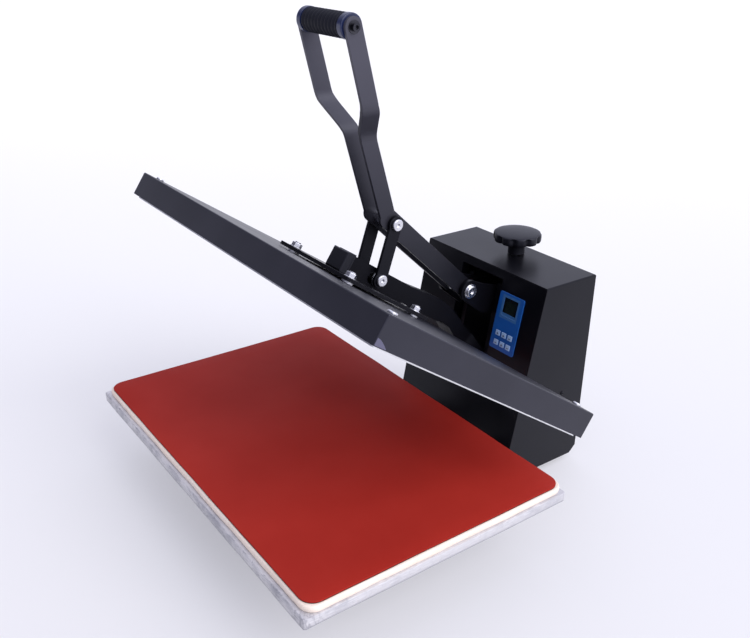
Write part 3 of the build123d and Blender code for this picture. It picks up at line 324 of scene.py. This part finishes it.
castLook = {
    "base": (0.67, 0.655, 0.67),
    "dark": (0.44, 0.44, 0.48),
    "bright": (0.90, 0.89, 0.91),
    "scuffAndCreaseShade": (0.16, 0.16, 0.20),
    "tarnishAndShade": (0.30, 0.30, 0.335),
    "roughness": 0.46,
    "vary": 0.3,
    "metallic": 0.45,
    "cloud": (22.0, 6.0, 0.65),
    "grain": (320.0, 5.0, 0.7),
    "strokes": (60.0, 3.0, 0.5, (1, 1, 14)),
    "scuffs": (48.0, 5.0, 0.7, (1, 1, 5)),
    "creases": (0.012, 34.0, 3.0, 0.5, (1, 1, 2.2)),
    "folds": (0.05, 95.0, 2.0, 0.5, (1, 1, 0.35)),
    "darkRange": (0.46, 0.72),
    "darkShare": 0.8,
    "brightRange": (0.52, 0.72),
    "brightShare": 0.5,
    "frontRange": (0.0012, 0.0025),
    "tarnishRange": (0.40, 0.58),
    "tarnishShare": 0.75,
    "tarnishCloud": 0.6,
    "tarnishStrokes": 0.4,
    "scuffRange": (0.66, 0.72),
    "scuffShare": 0.6,
    "cornerRange": (-0.036, -0.006),
    "foldShare": 0.45,
    "creaseShare": 0.12,
    "frontCreases": 0.45,
    "band": 0.0035,
    "footShadeWander": 0.004,
    "footShadeShare": 0.85,
    "grainHeight": 0.5,
    "cloudHeight": 0.7,
    "creaseHeight": 0.5,
    "bump": (0.5, 0.0006),
}


def castPlatePaint():
    paint = Paint("castPlate")
    cloud, grain, strokes, scuffs = (
        paint.noise(*castLook[name]) for name in ("cloud", "grain", "strokes", "scuffs")
    )
    creases = paint.veins(*castLook["creases"])
    low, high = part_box("lower_plate")
    base = paint.mix(
        paint.ramp(cloud, *castLook["darkRange"]) * castLook["darkShare"], castLook["base"], castLook["dark"]
    )
    bright = paint.ramp(strokes, *castLook["brightRange"])
    base = paint.mix(bright * castLook["brightShare"], base, castLook["bright"])

    # The front edge is the most handled
    front = 1 - paint.ramp(paint.axis("Y") - low.y, *castLook["frontRange"])
    tarnishAndShade = cloud * castLook["tarnishCloud"] + strokes * castLook["tarnishStrokes"]
    tarnishAndShade = front * paint.ramp(tarnishAndShade, *castLook["tarnishRange"])
    base = paint.mix(tarnishAndShade * castLook["tarnishShare"], base, castLook["tarnishAndShade"])
    scuffs = paint.ramp(scuffs, *castLook["scuffRange"])
    base = paint.mix(scuffs * castLook["scuffShare"], base, castLook["scuffAndCreaseShade"])

    # The foil is folded over at the near corner. Its fold and crease lines are darkened as painted shade
    fromCorner = paint.axis("X") - paint.axis("Y") - (high.x - low.y)
    folds = paint.ramp(fromCorner, *castLook["cornerRange"]) * paint.veins(*castLook["folds"])
    base = paint.mix(folds * castLook["foldShare"], base, castLook["scuffAndCreaseShade"])
    creaseShare = castLook["creaseShare"] + front * castLook["frontCreases"]
    base = paint.mix(creases * creaseShare, base, castLook["scuffAndCreaseShade"])
    # Painted shade: a dark band along the plate's foot
    height = paint.vary(paint.axis("Z") - low.z, cloud, castLook["footShadeWander"])
    band = 1 - paint.ramp(height, 0.0, castLook["band"])
    base = paint.mix(band * castLook["footShadeShare"], base, castLook["tarnishAndShade"])

    roughness = paint.vary(castLook["roughness"], grain, castLook["vary"])
    paint.set(base=base, roughness=roughness, metallic=castLook["metallic"])
    height = grain * castLook["grainHeight"] + cloud * castLook["cloudHeight"]
    paint.bump(height - creases * castLook["creaseHeight"] - folds, *castLook["bump"])
    return paint.material


metalLook = {
    "vary": 0.18,
    "cloud": (60.0, 4.0),
    "strokes": (500.0, 3.0),
    "darkRange": (0.3, 0.75),
    "bump": (0.2, 0.00006),
}


def metalPaint(name, base, dark, roughness, stretch=(1, 1, 1)):
    paint = Paint(name)
    cloud = paint.ramp(paint.noise(*metalLook["cloud"]), *metalLook["darkRange"])
    strokes = paint.noise(*metalLook["strokes"], stretch=stretch)
    roughness = paint.vary(roughness, strokes, metalLook["vary"])
    paint.set(base=paint.mix(cloud, base, dark), roughness=roughness, metallic=1.0)
    paint.bump(strokes, *metalLook["bump"])
    return paint.material


printLook = {
    "vary": 0.12,
    "coat": 0.15,
    "cloud": (25.0, 3.0),
    "grain": (1800.0, 2.0),
    "markShare": 0.85,
    "markSoft": 0.00015,
    "bump": (0.2, 0.00004),
}


def printedPaint(name, look, marks=()):  # smooth plastic, with rectangles printed on it
    paint = Paint(name)
    cloud = paint.noise(*printLook["cloud"])
    base = paint.mix(cloud, look["base"], look["light"])
    for centre, half in marks:
        mark = paint.patch(centre, half, printLook["markSoft"])
        base = paint.mix(mark * printLook["markShare"], base, look["mark"])
    roughness = paint.vary(look["roughness"], cloud, printLook["vary"])
    paint.set(base=base, roughness=roughness, coat=printLook["coat"])
    paint.bump(paint.noise(*printLook["grain"]), *printLook["bump"])
    return paint.material


def frontOf(nodeName):  # middle and half size of a node, seen from the front
    low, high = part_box(nodeName)
    middle = (low + high) / 2
    return (middle.x, middle.z), ((high.x - low.x) / 2, (high.z - low.z) / 2)


collarLook = {"base": (0.005, 0.010, 0.045), "light": (0.008, 0.017, 0.075), "roughness": 0.3}

panelLook = {
    "base": (0.008, 0.098, 0.40),
    "light": (0.012, 0.130, 0.50),
    "mark": (0.060, 0.190, 0.430),
    "roughness": 0.38,
    "border": 0.0040,
}


def bluePanelPaint():  # a paler frame is printed round the display
    centre, half = frontOf("lcd_window")
    half = tuple(reach + panelLook["border"] for reach in half)
    return printedPaint("bluePanel", panelLook, [(centre, half)])


keyLook = {
    "base": (0.36, 0.58, 0.88),
    "light": (0.48, 0.68, 0.94),
    "mark": (0.02, 0.04, 0.10),
    "roughness": 0.4,
    "long": 0.0019,
    "thick": 0.0006,
    "crossed": ("middle", "upper_left"),
}


def keyPaint(nodeName):  # each key has a plain dash, and some a cross
    centre = frontOf(nodeName)[0]
    marks = [(centre, (keyLook["long"], keyLook["thick"]))]
    if nodeName.endswith(keyLook["crossed"]):
        marks.append((centre, (keyLook["thick"], keyLook["long"])))
    return printedPaint(nodeName + "Paint", keyLook, marks)


glassLook = {
    "base": (0.003, 0.005, 0.008),
    "light": (0.006, 0.010, 0.012),
    "lit": (0.010, 0.018, 0.014),
    "roughness": 0.10,
    "smudged": 0.10,
    "coat": 0.6,
    "coatRoughness": 0.04,
    "smudge": (90.0, 4.0),
    "screen": (0.68, 0.60),
    "screenSoft": 0.0008,
    "screenShare": 0.7,
    "foot": -0.66,
    "footSoft": 0.0002,
}


def glassPaint():  # a faint screen behind the glass, with the panel's frame along its foot
    paint = Paint("displayGlass")
    smudge = paint.noise(*glassLook["smudge"])
    centre, half = frontOf("lcd_window")
    screenHalf = tuple(reach * share for reach, share in zip(half, glassLook["screen"]))
    screen = paint.patch(centre, screenHalf, glassLook["screenSoft"])
    base = paint.mix(smudge, glassLook["base"], glassLook["light"])
    base = paint.mix(screen * glassLook["screenShare"], base, glassLook["lit"])
    foot = centre[1] + half[1] * glassLook["foot"]
    above = paint.ramp(paint.axis("Z"), foot - glassLook["footSoft"], foot + glassLook["footSoft"])
    base = paint.mix(1 - above, base, panelLook["mark"])
    paint.set(
        base=base, roughness=glassLook["roughness"] + smudge * glassLook["smudged"],
        coat=glassLook["coat"], coatRoughness=glassLook["coatRoughness"],
    )
    return paint.material


boardLook = {
    "base": (0.02, 0.16, 0.05),
    "track": (0.01, 0.09, 0.03),
    "roughness": 0.4,
    "coat": 0.3,
    "cellScale": 350.0,
    "trackRange": (0.2, 0.4),
    "bump": (0.3, 0.0001),
}


def boardPaint():
    paint = Paint("circuitBoard")
    tracks = paint.cells(boardLook["cellScale"])
    base = paint.mix(paint.ramp(tracks, *boardLook["trackRange"]), boardLook["base"], boardLook["track"])
    paint.set(base=base, roughness=boardLook["roughness"], coat=boardLook["coat"])
    paint.bump(tracks, *boardLook["bump"])
    return paint.material


mineralLook = {
    "base": (0.74, 0.71, 0.62),
    "dark": (0.58, 0.54, 0.46),
    "roughness": 0.95,
    "specular": 0.15,
    "fibres": (180.0, 6.0, 0.7, (4, 4, 1)),
    "bump": (0.7, 0.0008),
}


def mineralPaint():
    paint = Paint("mineralBoard")
    fibres = paint.noise(*mineralLook["fibres"])
    base = paint.mix(fibres, mineralLook["base"], mineralLook["dark"])
    paint.set(base=base, roughness=mineralLook["roughness"], specular=mineralLook["specular"])
    paint.bump(fibres, *mineralLook["bump"])
    return paint.material


finishes = {
    "foot_rubber": rubberPaint("footRubber", (0.012, 0.012, 0.013), (0.022, 0.022, 0.023)),
    "zinc": metalPaint("zinc", (0.80, 0.80, 0.83), (0.62, 0.62, 0.66), 0.26),
    "black_frame": coatPaint("blackFrame", lift=0.08),
    "black_plastic": blackPlasticPaint(),
    "cast_plate": castPlatePaint(),
    "foam": foamPaint(),
    "red_silicone": siliconePaint(),
    "black_coat": coatPaint("blackCoat"),
    "sheet_steel": metalPaint("sheetSteel", (0.56, 0.56, 0.58), (0.44, 0.44, 0.47), 0.36, (1, 12, 1)),
    "grip_rubber": rubberPaint("gripRubber", (0.002, 0.0025, 0.007), (0.004, 0.005, 0.013)),
    "blue_plastic": printedPaint("bluePlastic", collarLook),
    "mineral_board": mineralPaint(),
    "aluminium": metalPaint("aluminium", (0.90, 0.90, 0.91), (0.76, 0.76, 0.78), 0.32, (14, 1, 1)),
    "blue_panel": bluePanelPaint(),
    "display_glass": glassPaint(),
    "circuit_board": boardPaint(),
}
# Painted highlight: the handle's coat is a lighter copy of the black coat, lighter still towards the top, for
# the light falling on the bars
handleLitTop = {"range": (0.34, 0.66), "pale": (0.062, 0.060, 0.076)}
handleLitCoat = coatPaint("handleLitCoat", lift=0.04, tone=1.4, shine=0.34, litTop=handleLitTop)
linkCoat = coatPaint("linkCoat", lift=0.06, tone=1.2, shine=0.2)
# Painted shade: the arm and fork plates get a darker, duller copy of the black coat, for the shade they stand
# in
armShadedCoat = coatPaint("armShadedCoat", lift=0.06, tone=0.9, shine=0.13)
ownFinishes = {
    # painted reflection: the cover's coat is a lighter copy of the black coat, for the bright background it
    # reflects
    "cover": coatPaint("coverLitCoat", lift=0.06, tone=3.6, shine=0.46),
    "right_handle_bar": handleLitCoat,
    "left_handle_bar": handleLitCoat,
    "right_link": linkCoat,
    "left_link": linkCoat,
    "arm_sides": armShadedCoat,
    "arm_core": armShadedCoat,
    "fork_plates": armShadedCoat,
    "grip_screws": metalPaint("darkScrew", (0.075, 0.075, 0.085), (0.035, 0.035, 0.045), 0.24),
}
for nodeName in keyNames:
    ownFinishes[nodeName] = keyPaint(nodeName)


def finishOf(nodeName):
    return ownFinishes.get(nodeName) or finishes[slotOf[nodeName]]


for nodeName, node in nodes.items():
    node.data.materials.clear()
    node.data.materials.append(finishOf(nodeName))
print("finishes made:", len(finishes) + len(ownFinishes))


# Modelling helpers

def deselect():
    if bpy.context.object and bpy.context.object.mode == "EDIT":
        bpy.ops.object.mode_set(mode="OBJECT")
    bpy.ops.object.select_all(action="DESELECT")


def hold(piece):
    deselect()
    piece.select_set(True)
    bpy.context.view_layer.objects.active = piece


def editAll():
    bpy.ops.object.mode_set(mode="EDIT")
    bpy.ops.mesh.select_all(action="SELECT")


def pick(piece, test, kind):  # goes to edit mode with only the faces or edges that pass the test
    bpy.ops.object.mode_set(mode="EDIT")
    bpy.ops.mesh.select_mode(type=kind)
    bpy.ops.mesh.select_all(action="DESELECT")
    bpy.ops.object.mode_set(mode="OBJECT")
    for item in {"FACE": piece.data.polygons, "EDGE": piece.data.edges}[kind]:
        item.select = test(item)
    bpy.ops.object.mode_set(mode="EDIT")


def modify(piece, kind, **settings):
    hold(piece)
    bpy.ops.object.modifier_add(type=kind)
    modifier = piece.modifiers[-1]
    for name, value in settings.items():
        setattr(modifier, name, value)
    bpy.ops.object.modifier_apply(modifier=modifier.name)


def bevelEdges(piece, width, segments, limit):
    limit = math.radians(limit)
    modify(piece, "BEVEL", width=width, segments=segments, limit_method="ANGLE", angle_limit=limit)


def settle(piece):  # the place goes into the mesh
    hold(piece)
    bpy.ops.object.transform_apply(location=True, rotation=True, scale=True)


def smooth(piece, angle):
    hold(piece)
    bpy.ops.object.shade_smooth_by_angle(angle=math.radians(angle))


def finish(piece, nodeName, stands=True, paint=None):  # stands for the node, or only goes along with it
    piece.data.materials.clear()
    piece.data.materials.append(paint or finishOf(nodeName))
    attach(piece, bodyOf[nodeName])
    if stands:
        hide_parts(nodeName)
    return piece


cadCopy = {"merge": 0.00002, "flat": 0.5}


def copyOf(nodeName):
    piece = bpy.data.objects.new(nodeName + "_piece", nodes[nodeName].data.copy())
    bpy.context.scene.collection.objects.link(piece)
    hold(piece)
    editAll()
    bpy.ops.mesh.remove_doubles(threshold=cadCopy["merge"])
    bpy.ops.mesh.dissolve_limited(angle_limit=math.radians(cadCopy["flat"]))
    bpy.ops.object.mode_set(mode="OBJECT")
    return piece


rounding = {"limit": 35.0, "sharpLimit": 40.0, "smooth": 35.0}


def roundEdges(piece, width, segments=2, limit=rounding["limit"]):
    bevelEdges(piece, width, segments, limit)
    smooth(piece, rounding["smooth"])
    modify(piece, "WEIGHTED_NORMAL", keep_sharp=True)  # flat faces stay flat between their rounded edges


def softened(nodeName, width, segments=2):
    piece = copyOf(nodeName)
    roundEdges(piece, width, segments)
    finish(piece, nodeName)


def turned(name, outline, sides):  # rings of (height, radius), drawn up one by one round the Z axis
    deselect()
    height, radius = outline[0]
    bpy.ops.mesh.primitive_circle_add(vertices=sides, radius=radius, fill_type="NGON", location=(0, 0, height))
    piece = bpy.context.object
    piece.name = name
    editAll()
    for (height0, radius0), (height1, radius1) in zip(outline, outline[1:]):
        bpy.ops.mesh.extrude_region_move(TRANSFORM_OT_translate={"value": (0, 0, height1 - height0)})
        grow = radius1 / radius0
        bpy.ops.transform.resize(value=(grow, grow, 1), center_override=(0, 0, height1))
    bpy.ops.mesh.select_all(action="SELECT")
    bpy.ops.mesh.normals_make_consistent(inside=False)
    bpy.ops.object.mode_set(mode="OBJECT")
    settle(piece)
    return piece


def slab(name, low, high):  # a cube stretched between two corners
    deselect()
    middle = (Vector(low) + Vector(high)) / 2
    bpy.ops.mesh.primitive_cube_add(size=1, location=middle, scale=Vector(high) - Vector(low))
    piece = bpy.context.object
    piece.name = name
    settle(piece)
    return piece


def roundCorners(piece, radius, segments):  # bevels the upright edges
    points = piece.data.vertices

    def upright(edge):
        start, end = (points[index].co for index in edge.vertices)
        return abs(start.x - end.x) + abs(start.y - end.y) < tiny

    pick(piece, upright, "EDGE")
    bpy.ops.mesh.bevel(offset=radius, segments=segments, affect="EDGES")
    bpy.ops.object.mode_set(mode="OBJECT")


def cutAcross(piece, point, normal):
    editAll()
    bpy.ops.mesh.bisect(plane_co=point, plane_no=normal)
    bpy.ops.object.mode_set(mode="OBJECT")


def cutGrid(piece, low, high, step):  # cuts both ways, so that the piece can wave
    for axis in (0, 1):
        count = round((high[axis] - low[axis]) / step)
        for index in range(1, count):
            point = [0, 0, 0]
            normal = [0, 0, 0]
            point[axis] = low[axis] + (high[axis] - low[axis]) * index / count
            normal[axis] = 1
            cutAcross(piece, point, normal)


sideWaves = {"mean": 0.5, "slow": 0.3, "fast": 0.2, "slowTurns": 6.28, "fastTurns": 14.3}


def waveSides(piece, low, high, shape):  # the sides go in a little, never out of their box
    half = (high - low) / 2
    middle = (high + low) / 2
    for point in piece.data.vertices:
        place = point.co - middle
        share = place.z / half.z
        for axis in (0, 1):
            along = point.co[1 - axis] / shape["waveLength"]
            slow = math.sin(sideWaves["slowTurns"] * along + 2 * axis + share)
            fast = math.sin(sideWaves["fastTurns"] * along + axis)
            wave = sideWaves["mean"] + sideWaves["slow"] * slow + sideWaves["fast"] * fast
            inward = shape["wave"] * wave + shape["pull"] * share * share
            point.co[axis] -= inward * place[axis] / half[axis]


# Lower platen: plate, foam pad and mat

matShape = {
    "corner": 0.020,
    "cornerSteps": 12,
    "levels": (),
    "edge": 0.0009,
    "edgeSteps": 3,
    "step": 0.03,
    "wave": 0.0006,
    "waveLength": 0.21,
    "pull": 0,
    "smooth": 50,
    "ripple": 0.0005,
    "rippleLength": 0.034,
    "wander": 1.3,
    "wanderLength": 0.052,
}
foamShape = {
    "corner": 0.018,
    "cornerSteps": 8,
    "levels": (0.3, 0.5, 0.7),
    "edge": 0.0016,
    "edgeSteps": 3,
    "step": 0.02,
    "wave": 0.0011,
    "waveLength": 0.13,
    "pull": 0.0009,
    "smooth": 50,
}
plateShape = {
    "corner": 0.0035,
    "cornerSteps": 4,
    "levels": (),
    "edge": 0.0008,
    "edgeSteps": 2,
    "step": 0.025,
    "wave": 0.0007,
    "waveLength": 0.17,
    "pull": 0,
    "smooth": 40,
}
layerLimit = 60


def rippleTop(piece, low, high, shape):
    for point in piece.data.vertices:
        if point.co.z > (low.z + high.z) / 2:
            wander = shape["wander"] * math.sin(point.co.y / shape["wanderLength"])
            turn = point.co.x / shape["rippleLength"] + wander
            point.co.z -= shape["ripple"] * (0.5 + 0.5 * math.sin(turn))


def platenLayer(name, nodeName, shape):
    low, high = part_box(nodeName)
    piece = slab(name, low, high)
    roundCorners(piece, shape["corner"], shape["cornerSteps"])
    for share in shape["levels"]:
        cutAcross(piece, (0, 0, low.z + (high.z - low.z) * share), (0, 0, 1))
    bevelEdges(piece, shape["edge"], shape["edgeSteps"], layerLimit)
    cutGrid(piece, low, high, shape["step"])
    if "ripple" in shape:
        rippleTop(piece, low, high, shape)
    waveSides(piece, low, high, shape)
    smooth(piece, shape["smooth"])
    return finish(piece, nodeName)


platenLayer("redMat", "silicone_mat", matShape)
platenLayer("foamPad", "foam_pad", foamShape)
platenLayer("platenPlate", "lower_plate", plateShape)
print("lower platen made")


# Handle: bars with rounded bends, ribbed grip

barBends = {
    "low": 0.562,
    "high": 0.601,
    "inside": 0.0155,
    "splay": 0.050,
    "thickness": 0.005,
    "reach": 0.010,
    "steps": 4,
    "edge": 0.0005,
}


def bendOffset(height, low, high, reach):  # how far out the inner face is, with each bend spread over its reach
    slope = (barBends["splay"] - barBends["inside"]) / (high - low)
    offset = barBends["inside"]
    for corner, turn in ((low, slope), (high, -slope)):
        if height > corner + reach:
            offset += turn * (height - corner)
        elif height > corner - reach:
            offset += turn * (height - corner + reach) ** 2 / (4 * reach)
    return offset


def handleBar(nodeName):
    piece = copyOf(nodeName)
    reach = barBends["reach"]
    corners = (barBends["low"], barBends["high"])
    lean = math.atan2(barBends["splay"] - barBends["inside"], barBends["high"] - barBends["low"])
    mitre = barBends["thickness"] * math.tan(lean / 2)
    for corner in corners:
        for step in range(-barBends["steps"], barBends["steps"] + 1):
            cutAcross(piece, (0, 0, corner + step * reach / barBends["steps"] - mitre / 2), (0, 0, 1))
    for point in piece.data.vertices:
        height = point.co.z
        outer = abs(point.co.x) - bendOffset(height, *corners, tiny) > barBends["thickness"] / 2
        low, high = (corner - mitre if outer else corner for corner in corners)
        change = bendOffset(height, low, high, reach) - bendOffset(height, low, high, tiny)
        point.co.x += change if point.co.x > 0 else -change
    roundEdges(piece, barBends["edge"], limit=rounding["sharpLimit"])
    finish(piece, nodeName)


gripShape = {"ribs": 11, "depth": 0.0017, "steps": 8, "sides": 64, "flatness": 0.6, "smooth": 60}


def gripSleeve():
    low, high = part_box("grip_sleeve")
    radius = (high.z - low.z) / 2
    half = (high.x - low.x) / 2
    count = gripShape["ribs"] * gripShape["steps"]
    outline = []
    for index in range(count + 1):
        wave = 0.5 - 0.5 * math.cos(2 * math.pi * index / gripShape["steps"])
        groove = gripShape["depth"] * (1 - wave ** gripShape["flatness"])
        outline.append((half * (2 * index / count - 1), radius - groove))
    piece = turned("gripSleeve", outline, gripShape["sides"])
    piece.rotation_euler = (0, math.radians(90), 0)
    piece.location = (low + high) / 2
    settle(piece)
    smooth(piece, gripShape["smooth"])
    finish(piece, "grip_sleeve")


gripEdges = {"grip_collars": 0.0006, "grip_screws": 0.0004}

for nodeName in ("right_handle_bar", "left_handle_bar"):
    handleBar(nodeName)
gripSleeve()
for nodeName, width in gripEdges.items():
    softened(nodeName, width)
print("handle made")


# Pressure knob

knobShape = {
    "stem": (
        (0.0, 0.0125), (0.0008, 0.0135), (0.012, 0.0132), (0.017, 0.0145), (0.0195, 0.019), (0.0203, 0.026),
    ),  # height and radius
    "rim": (
        (0.0207, 0.0035), (0.0217, 0.0013), (0.0235, 0.0003), (0.0270, 0.0), (0.0300, 0.0), (0.0320, 0.0),
        (0.0334, 0.0004), (0.0343, 0.0014), (0.0352, 0.0040), (0.0364, 0.010), (0.0373, 0.018),
    ),  # height, and how far inside the full radius
    "top": (0.010, 0.004),
    "sides": 160,
    "lobes": 10,
    "depth": 0.0042,
    "sharpness": 3,
    "inner": 0.022,
    "outer": 0.034,
    "fluted": 0.0320,
    "plain": 0.0346,
    "smooth": 40,
}


def shareBetween(value, start, end):
    return min(max((value - start) / (end - start), 0), 1)


def pressureKnob():
    low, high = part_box("knob")
    middle = (low + high) / 2
    radius = (high.x - low.x) / 2
    outline = [(low.z + up, width) for up, width in knobShape["stem"]]
    outline += [(low.z + up, radius - inset) for up, inset in knobShape["rim"]]
    outline += [(high.z, width) for width in knobShape["top"]]
    piece = turned("pressureKnob", outline, knobShape["sides"])
    for point in piece.data.vertices:
        distance = math.hypot(point.co.x, point.co.y)
        turn = math.atan2(point.co.y, point.co.x)
        share = shareBetween(distance, knobShape["inner"], knobShape["outer"])
        share *= 1 - shareBetween(point.co.z - low.z, knobShape["fluted"], knobShape["plain"])
        dip = (0.5 - 0.5 * math.cos(knobShape["lobes"] * turn)) ** knobShape["sharpness"]
        shrink = 1 - knobShape["depth"] * share * dip / max(distance, tiny)
        point.co.x *= shrink
        point.co.y *= shrink
    piece.location = (middle.x, middle.y, 0)
    settle(piece)
    smooth(piece, knobShape["smooth"])
    finish(piece, "knob")


pressureKnob()
print("knob made")


# Folded corner of the cover's sheet, at its right front foot

foldTab = {
    "turn": 34.4,
    "sunk": 0.0004,
    "proud": 0.0006,
    "long": 0.017,
    "high": 0.0085,
    "front": 0.0011,
    "foot": 0.0009,
    "cuts": (0.25, 0.5, 0.75),
    "droop": 0.92,
    "curve": 1.7,
    "tuck": 0.5,
    "edge": 0.00025,
}


def coverFold():
    low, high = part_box("cover")
    turn = Matrix.Rotation(math.radians(foldTab["turn"]), 4, "X")  # lays the open cover flat
    flat = [turn @ point.co for point in nodes["cover"].data.vertices]
    front = min(point.y for point in flat)
    foot = min(point.z for point in flat)
    start = Vector((high.x - foldTab["sunk"], front + foldTab["front"], foot + foldTab["foot"]))
    end = Vector((high.x + foldTab["proud"], start.y + foldTab["long"], start.z + foldTab["high"]))
    piece = slab("coverFold", start, end)
    for share in foldTab["cuts"]:
        cutAcross(piece, (0, start.y + foldTab["long"] * share, 0), (0, 1, 0))
    for point in piece.data.vertices:  # the far end curves down to the foot
        share = (point.co.y - start.y) / foldTab["long"]
        if point.co.z > start.z + foldTab["high"] / 2:
            point.co.z -= foldTab["high"] * foldTab["droop"] * share ** foldTab["curve"]
        if point.co.x > high.x:
            point.co.x -= foldTab["proud"] * foldTab["tuck"] * (1 - share)
    roundEdges(piece, foldTab["edge"], limit=rounding["sharpLimit"])
    piece.matrix_world = turn.inverted()
    settle(piece)
    litFold = coatPaint("foldLitCoat", lift=0.1, tone=30.0, shine=0.5)  # painted much lighter, a painted highlight for the light on the folded facet
    finish(piece, "cover", stands=False, paint=litFold)


coverFold()
print("cover fold made")


# Screws in the sides of the box

sideScrew = {
    "places": ((0.1354, 0.2653, 0.1366), (-0.1354, 0.2653, 0.1366)),
    "outline": ((0.0, 0.0036), (0.0007, 0.0035), (0.0014, 0.0029), (0.0018, 0.0020)),
    "sides": 28,
    "rim": 0.0006,
    "depth": 0.0007,
    "smooth": 40,
}


def sideScrews():  # modelled once, pointing up, and copied
    first = turned("sideScrew0", sideScrew["outline"], sideScrew["sides"])
    top = sideScrew["outline"][-1][0]
    pick(first, lambda face: abs(face.center.z - top) < tiny, "FACE")
    bpy.ops.mesh.inset(thickness=sideScrew["rim"])
    bpy.ops.mesh.extrude_region_move(TRANSFORM_OT_translate={"value": (0, 0, -sideScrew["depth"])})
    bpy.ops.object.mode_set(mode="OBJECT")
    smooth(first, sideScrew["smooth"])
    second = bpy.data.objects.new("sideScrew1", first.data.copy())
    bpy.context.scene.collection.objects.link(second)
    for piece, place in zip((first, second), sideScrew["places"]):
        piece.rotation_euler = (0, math.copysign(math.radians(90), place[0]), 0)
        piece.location = place
        settle(piece)
        finish(piece, "box_shell", stands=False)


sideScrews()
print("side screws made")


# Linkage, arm, box and fasteners keep their shape and get rounded edges

edgeWidths = {
    "right_link": 0.0005,
    "left_link": 0.0005,
    "upper_link_bolt": 0.0005,
    "lower_link_bolt": 0.0005,
    "handle_pivot_bolt": 0.0005,
    "arm_sides": 0.0006,
    "arm_end_cap": 0.0010,
    "mounting_plate": 0.0006,
    "fork_plates": 0.0006,
    "stud_nuts": 0.0005,
    "cover_screws": 0.0003,
    "display_panel": 0.0004,
    "front_panel": 0.0003,
    "lead_gland": 0.0005,
    "top_bridge": 0.0006,
    "rail_caps": 0.0012,
    "base_rails": 0.0008,
    "box_shell": 0.0007,
    "uprights": 0.0006,
    "nut_block": 0.0008,
    "power_inlet": 0.0005,
    "switch_housing": 0.0005,
    "power_rocker": 0.0006,
}
keyEdges = {"width": 0.0007, "segments": 3}

for nodeName, width in edgeWidths.items():
    softened(nodeName, width)
for nodeName in keyNames:
    softened(nodeName, **keyEdges)
print("edges rounded")


# Stage: camera, floor and light

cameraSetup = {
    "place": (0.9285, -0.6780, 0.8176),
    "azimuth": 54.0,
    "down": 24.94,
    "roll": 0.73,
    "lens": 41.66,
    "sensor": 36.0,
}


def addCamera():
    data = bpy.data.cameras.new("camera")
    data.lens = cameraSetup["lens"]
    data.sensor_width = cameraSetup["sensor"]
    camera = bpy.data.objects.new("camera", data)
    bpy.context.scene.collection.objects.link(camera)
    turn = Matrix.Rotation(math.radians(cameraSetup["azimuth"]), 4, "Z")
    tilt = Matrix.Rotation(math.radians(90 - cameraSetup["down"]), 4, "X")
    roll = Matrix.Rotation(math.radians(cameraSetup["roll"]), 4, "Z")
    camera.matrix_world = Matrix.Translation(cameraSetup["place"]) @ turn @ tilt @ roll
    bpy.context.scene.camera = camera


floorLook = {
    "size": 90.0,
    "base": (0.48, 0.475, 0.475),
    "far": (0.60, 0.59, 0.55),
    "farRange": (0.2, 3.5),
    "glow": (0.345, 0.342, 0.370),
    "roughness": 0.55,
    "specular": 0.1,
}


def addFloor():  # its own faint glow keeps the shadows pale
    deselect()
    bpy.ops.mesh.primitive_plane_add(size=floorLook["size"])
    floor = bpy.context.object
    floor.name = "floor"
    paint = Paint("floor")
    # painted lighter and warmer towards the back left, a painted gradient of light across the floor
    away = paint.ramp(paint.axis("Y") - paint.axis("X"), *floorLook["farRange"])
    paint.set(
        base=paint.mix(away, floorLook["base"], floorLook["far"]),
        glow=floorLook["glow"], glowStrength=1.0,
        roughness=floorLook["roughness"], specular=floorLook["specular"],
    )
    floor.data.materials.append(paint.material)


sunLook = {"towards": (0.80, 0.22, 0.62), "strength": 1.7, "angle": 45.0, "colour": (1.0, 0.99, 0.98)}


def addSun():
    data = bpy.data.lights.new("softSun", "SUN")
    data.energy = sunLook["strength"]
    data.angle = math.radians(sunLook["angle"])
    data.color = sunLook["colour"]
    lamp = bpy.data.objects.new("softSun", data)
    bpy.context.scene.collection.objects.link(lamp)
    lamp.rotation_euler = Vector(sunLook["towards"]).to_track_quat("Z", "Y").to_euler()


worldLook = {
    "towards": (0.38, 0.72, 0.58),
    "dim": (0.15, 0.15, 0.20),
    "pale": (1.00, 1.02, 1.22),
    "paleRange": (-0.40, 0.35),
    "bandRange": (0.05, 0.20),
}


def addWorld():  # a studio that is dim at the front left, and pale elsewhere and along the horizon
    sky = Sky("studio")
    bpy.context.scene.world = sky.world
    there = sky.node("ShaderNodeTexCoord", {}, {}, "Generated")
    settings = {"operation": "DOT_PRODUCT"}
    facing = sky.node("ShaderNodeVectorMath", settings, {0: there, 1: worldLook["towards"]}, "Value")
    height = sky.node("ShaderNodeSeparateXYZ", {}, {"Vector": there}, "Z")
    tone = sky.mix(sky.ramp(facing, *worldLook["paleRange"]), worldLook["dim"], worldLook["pale"])
    band = 1 - sky.ramp(height, *worldLook["bandRange"])
    sky.set(sky=sky.mix(band, tone, worldLook["pale"]), skyStrength=1.0)


addCamera()
addFloor()
addWorld()
addSun()
bpy.context.scene.view_settings.view_transform = "Standard"
print("stage made")
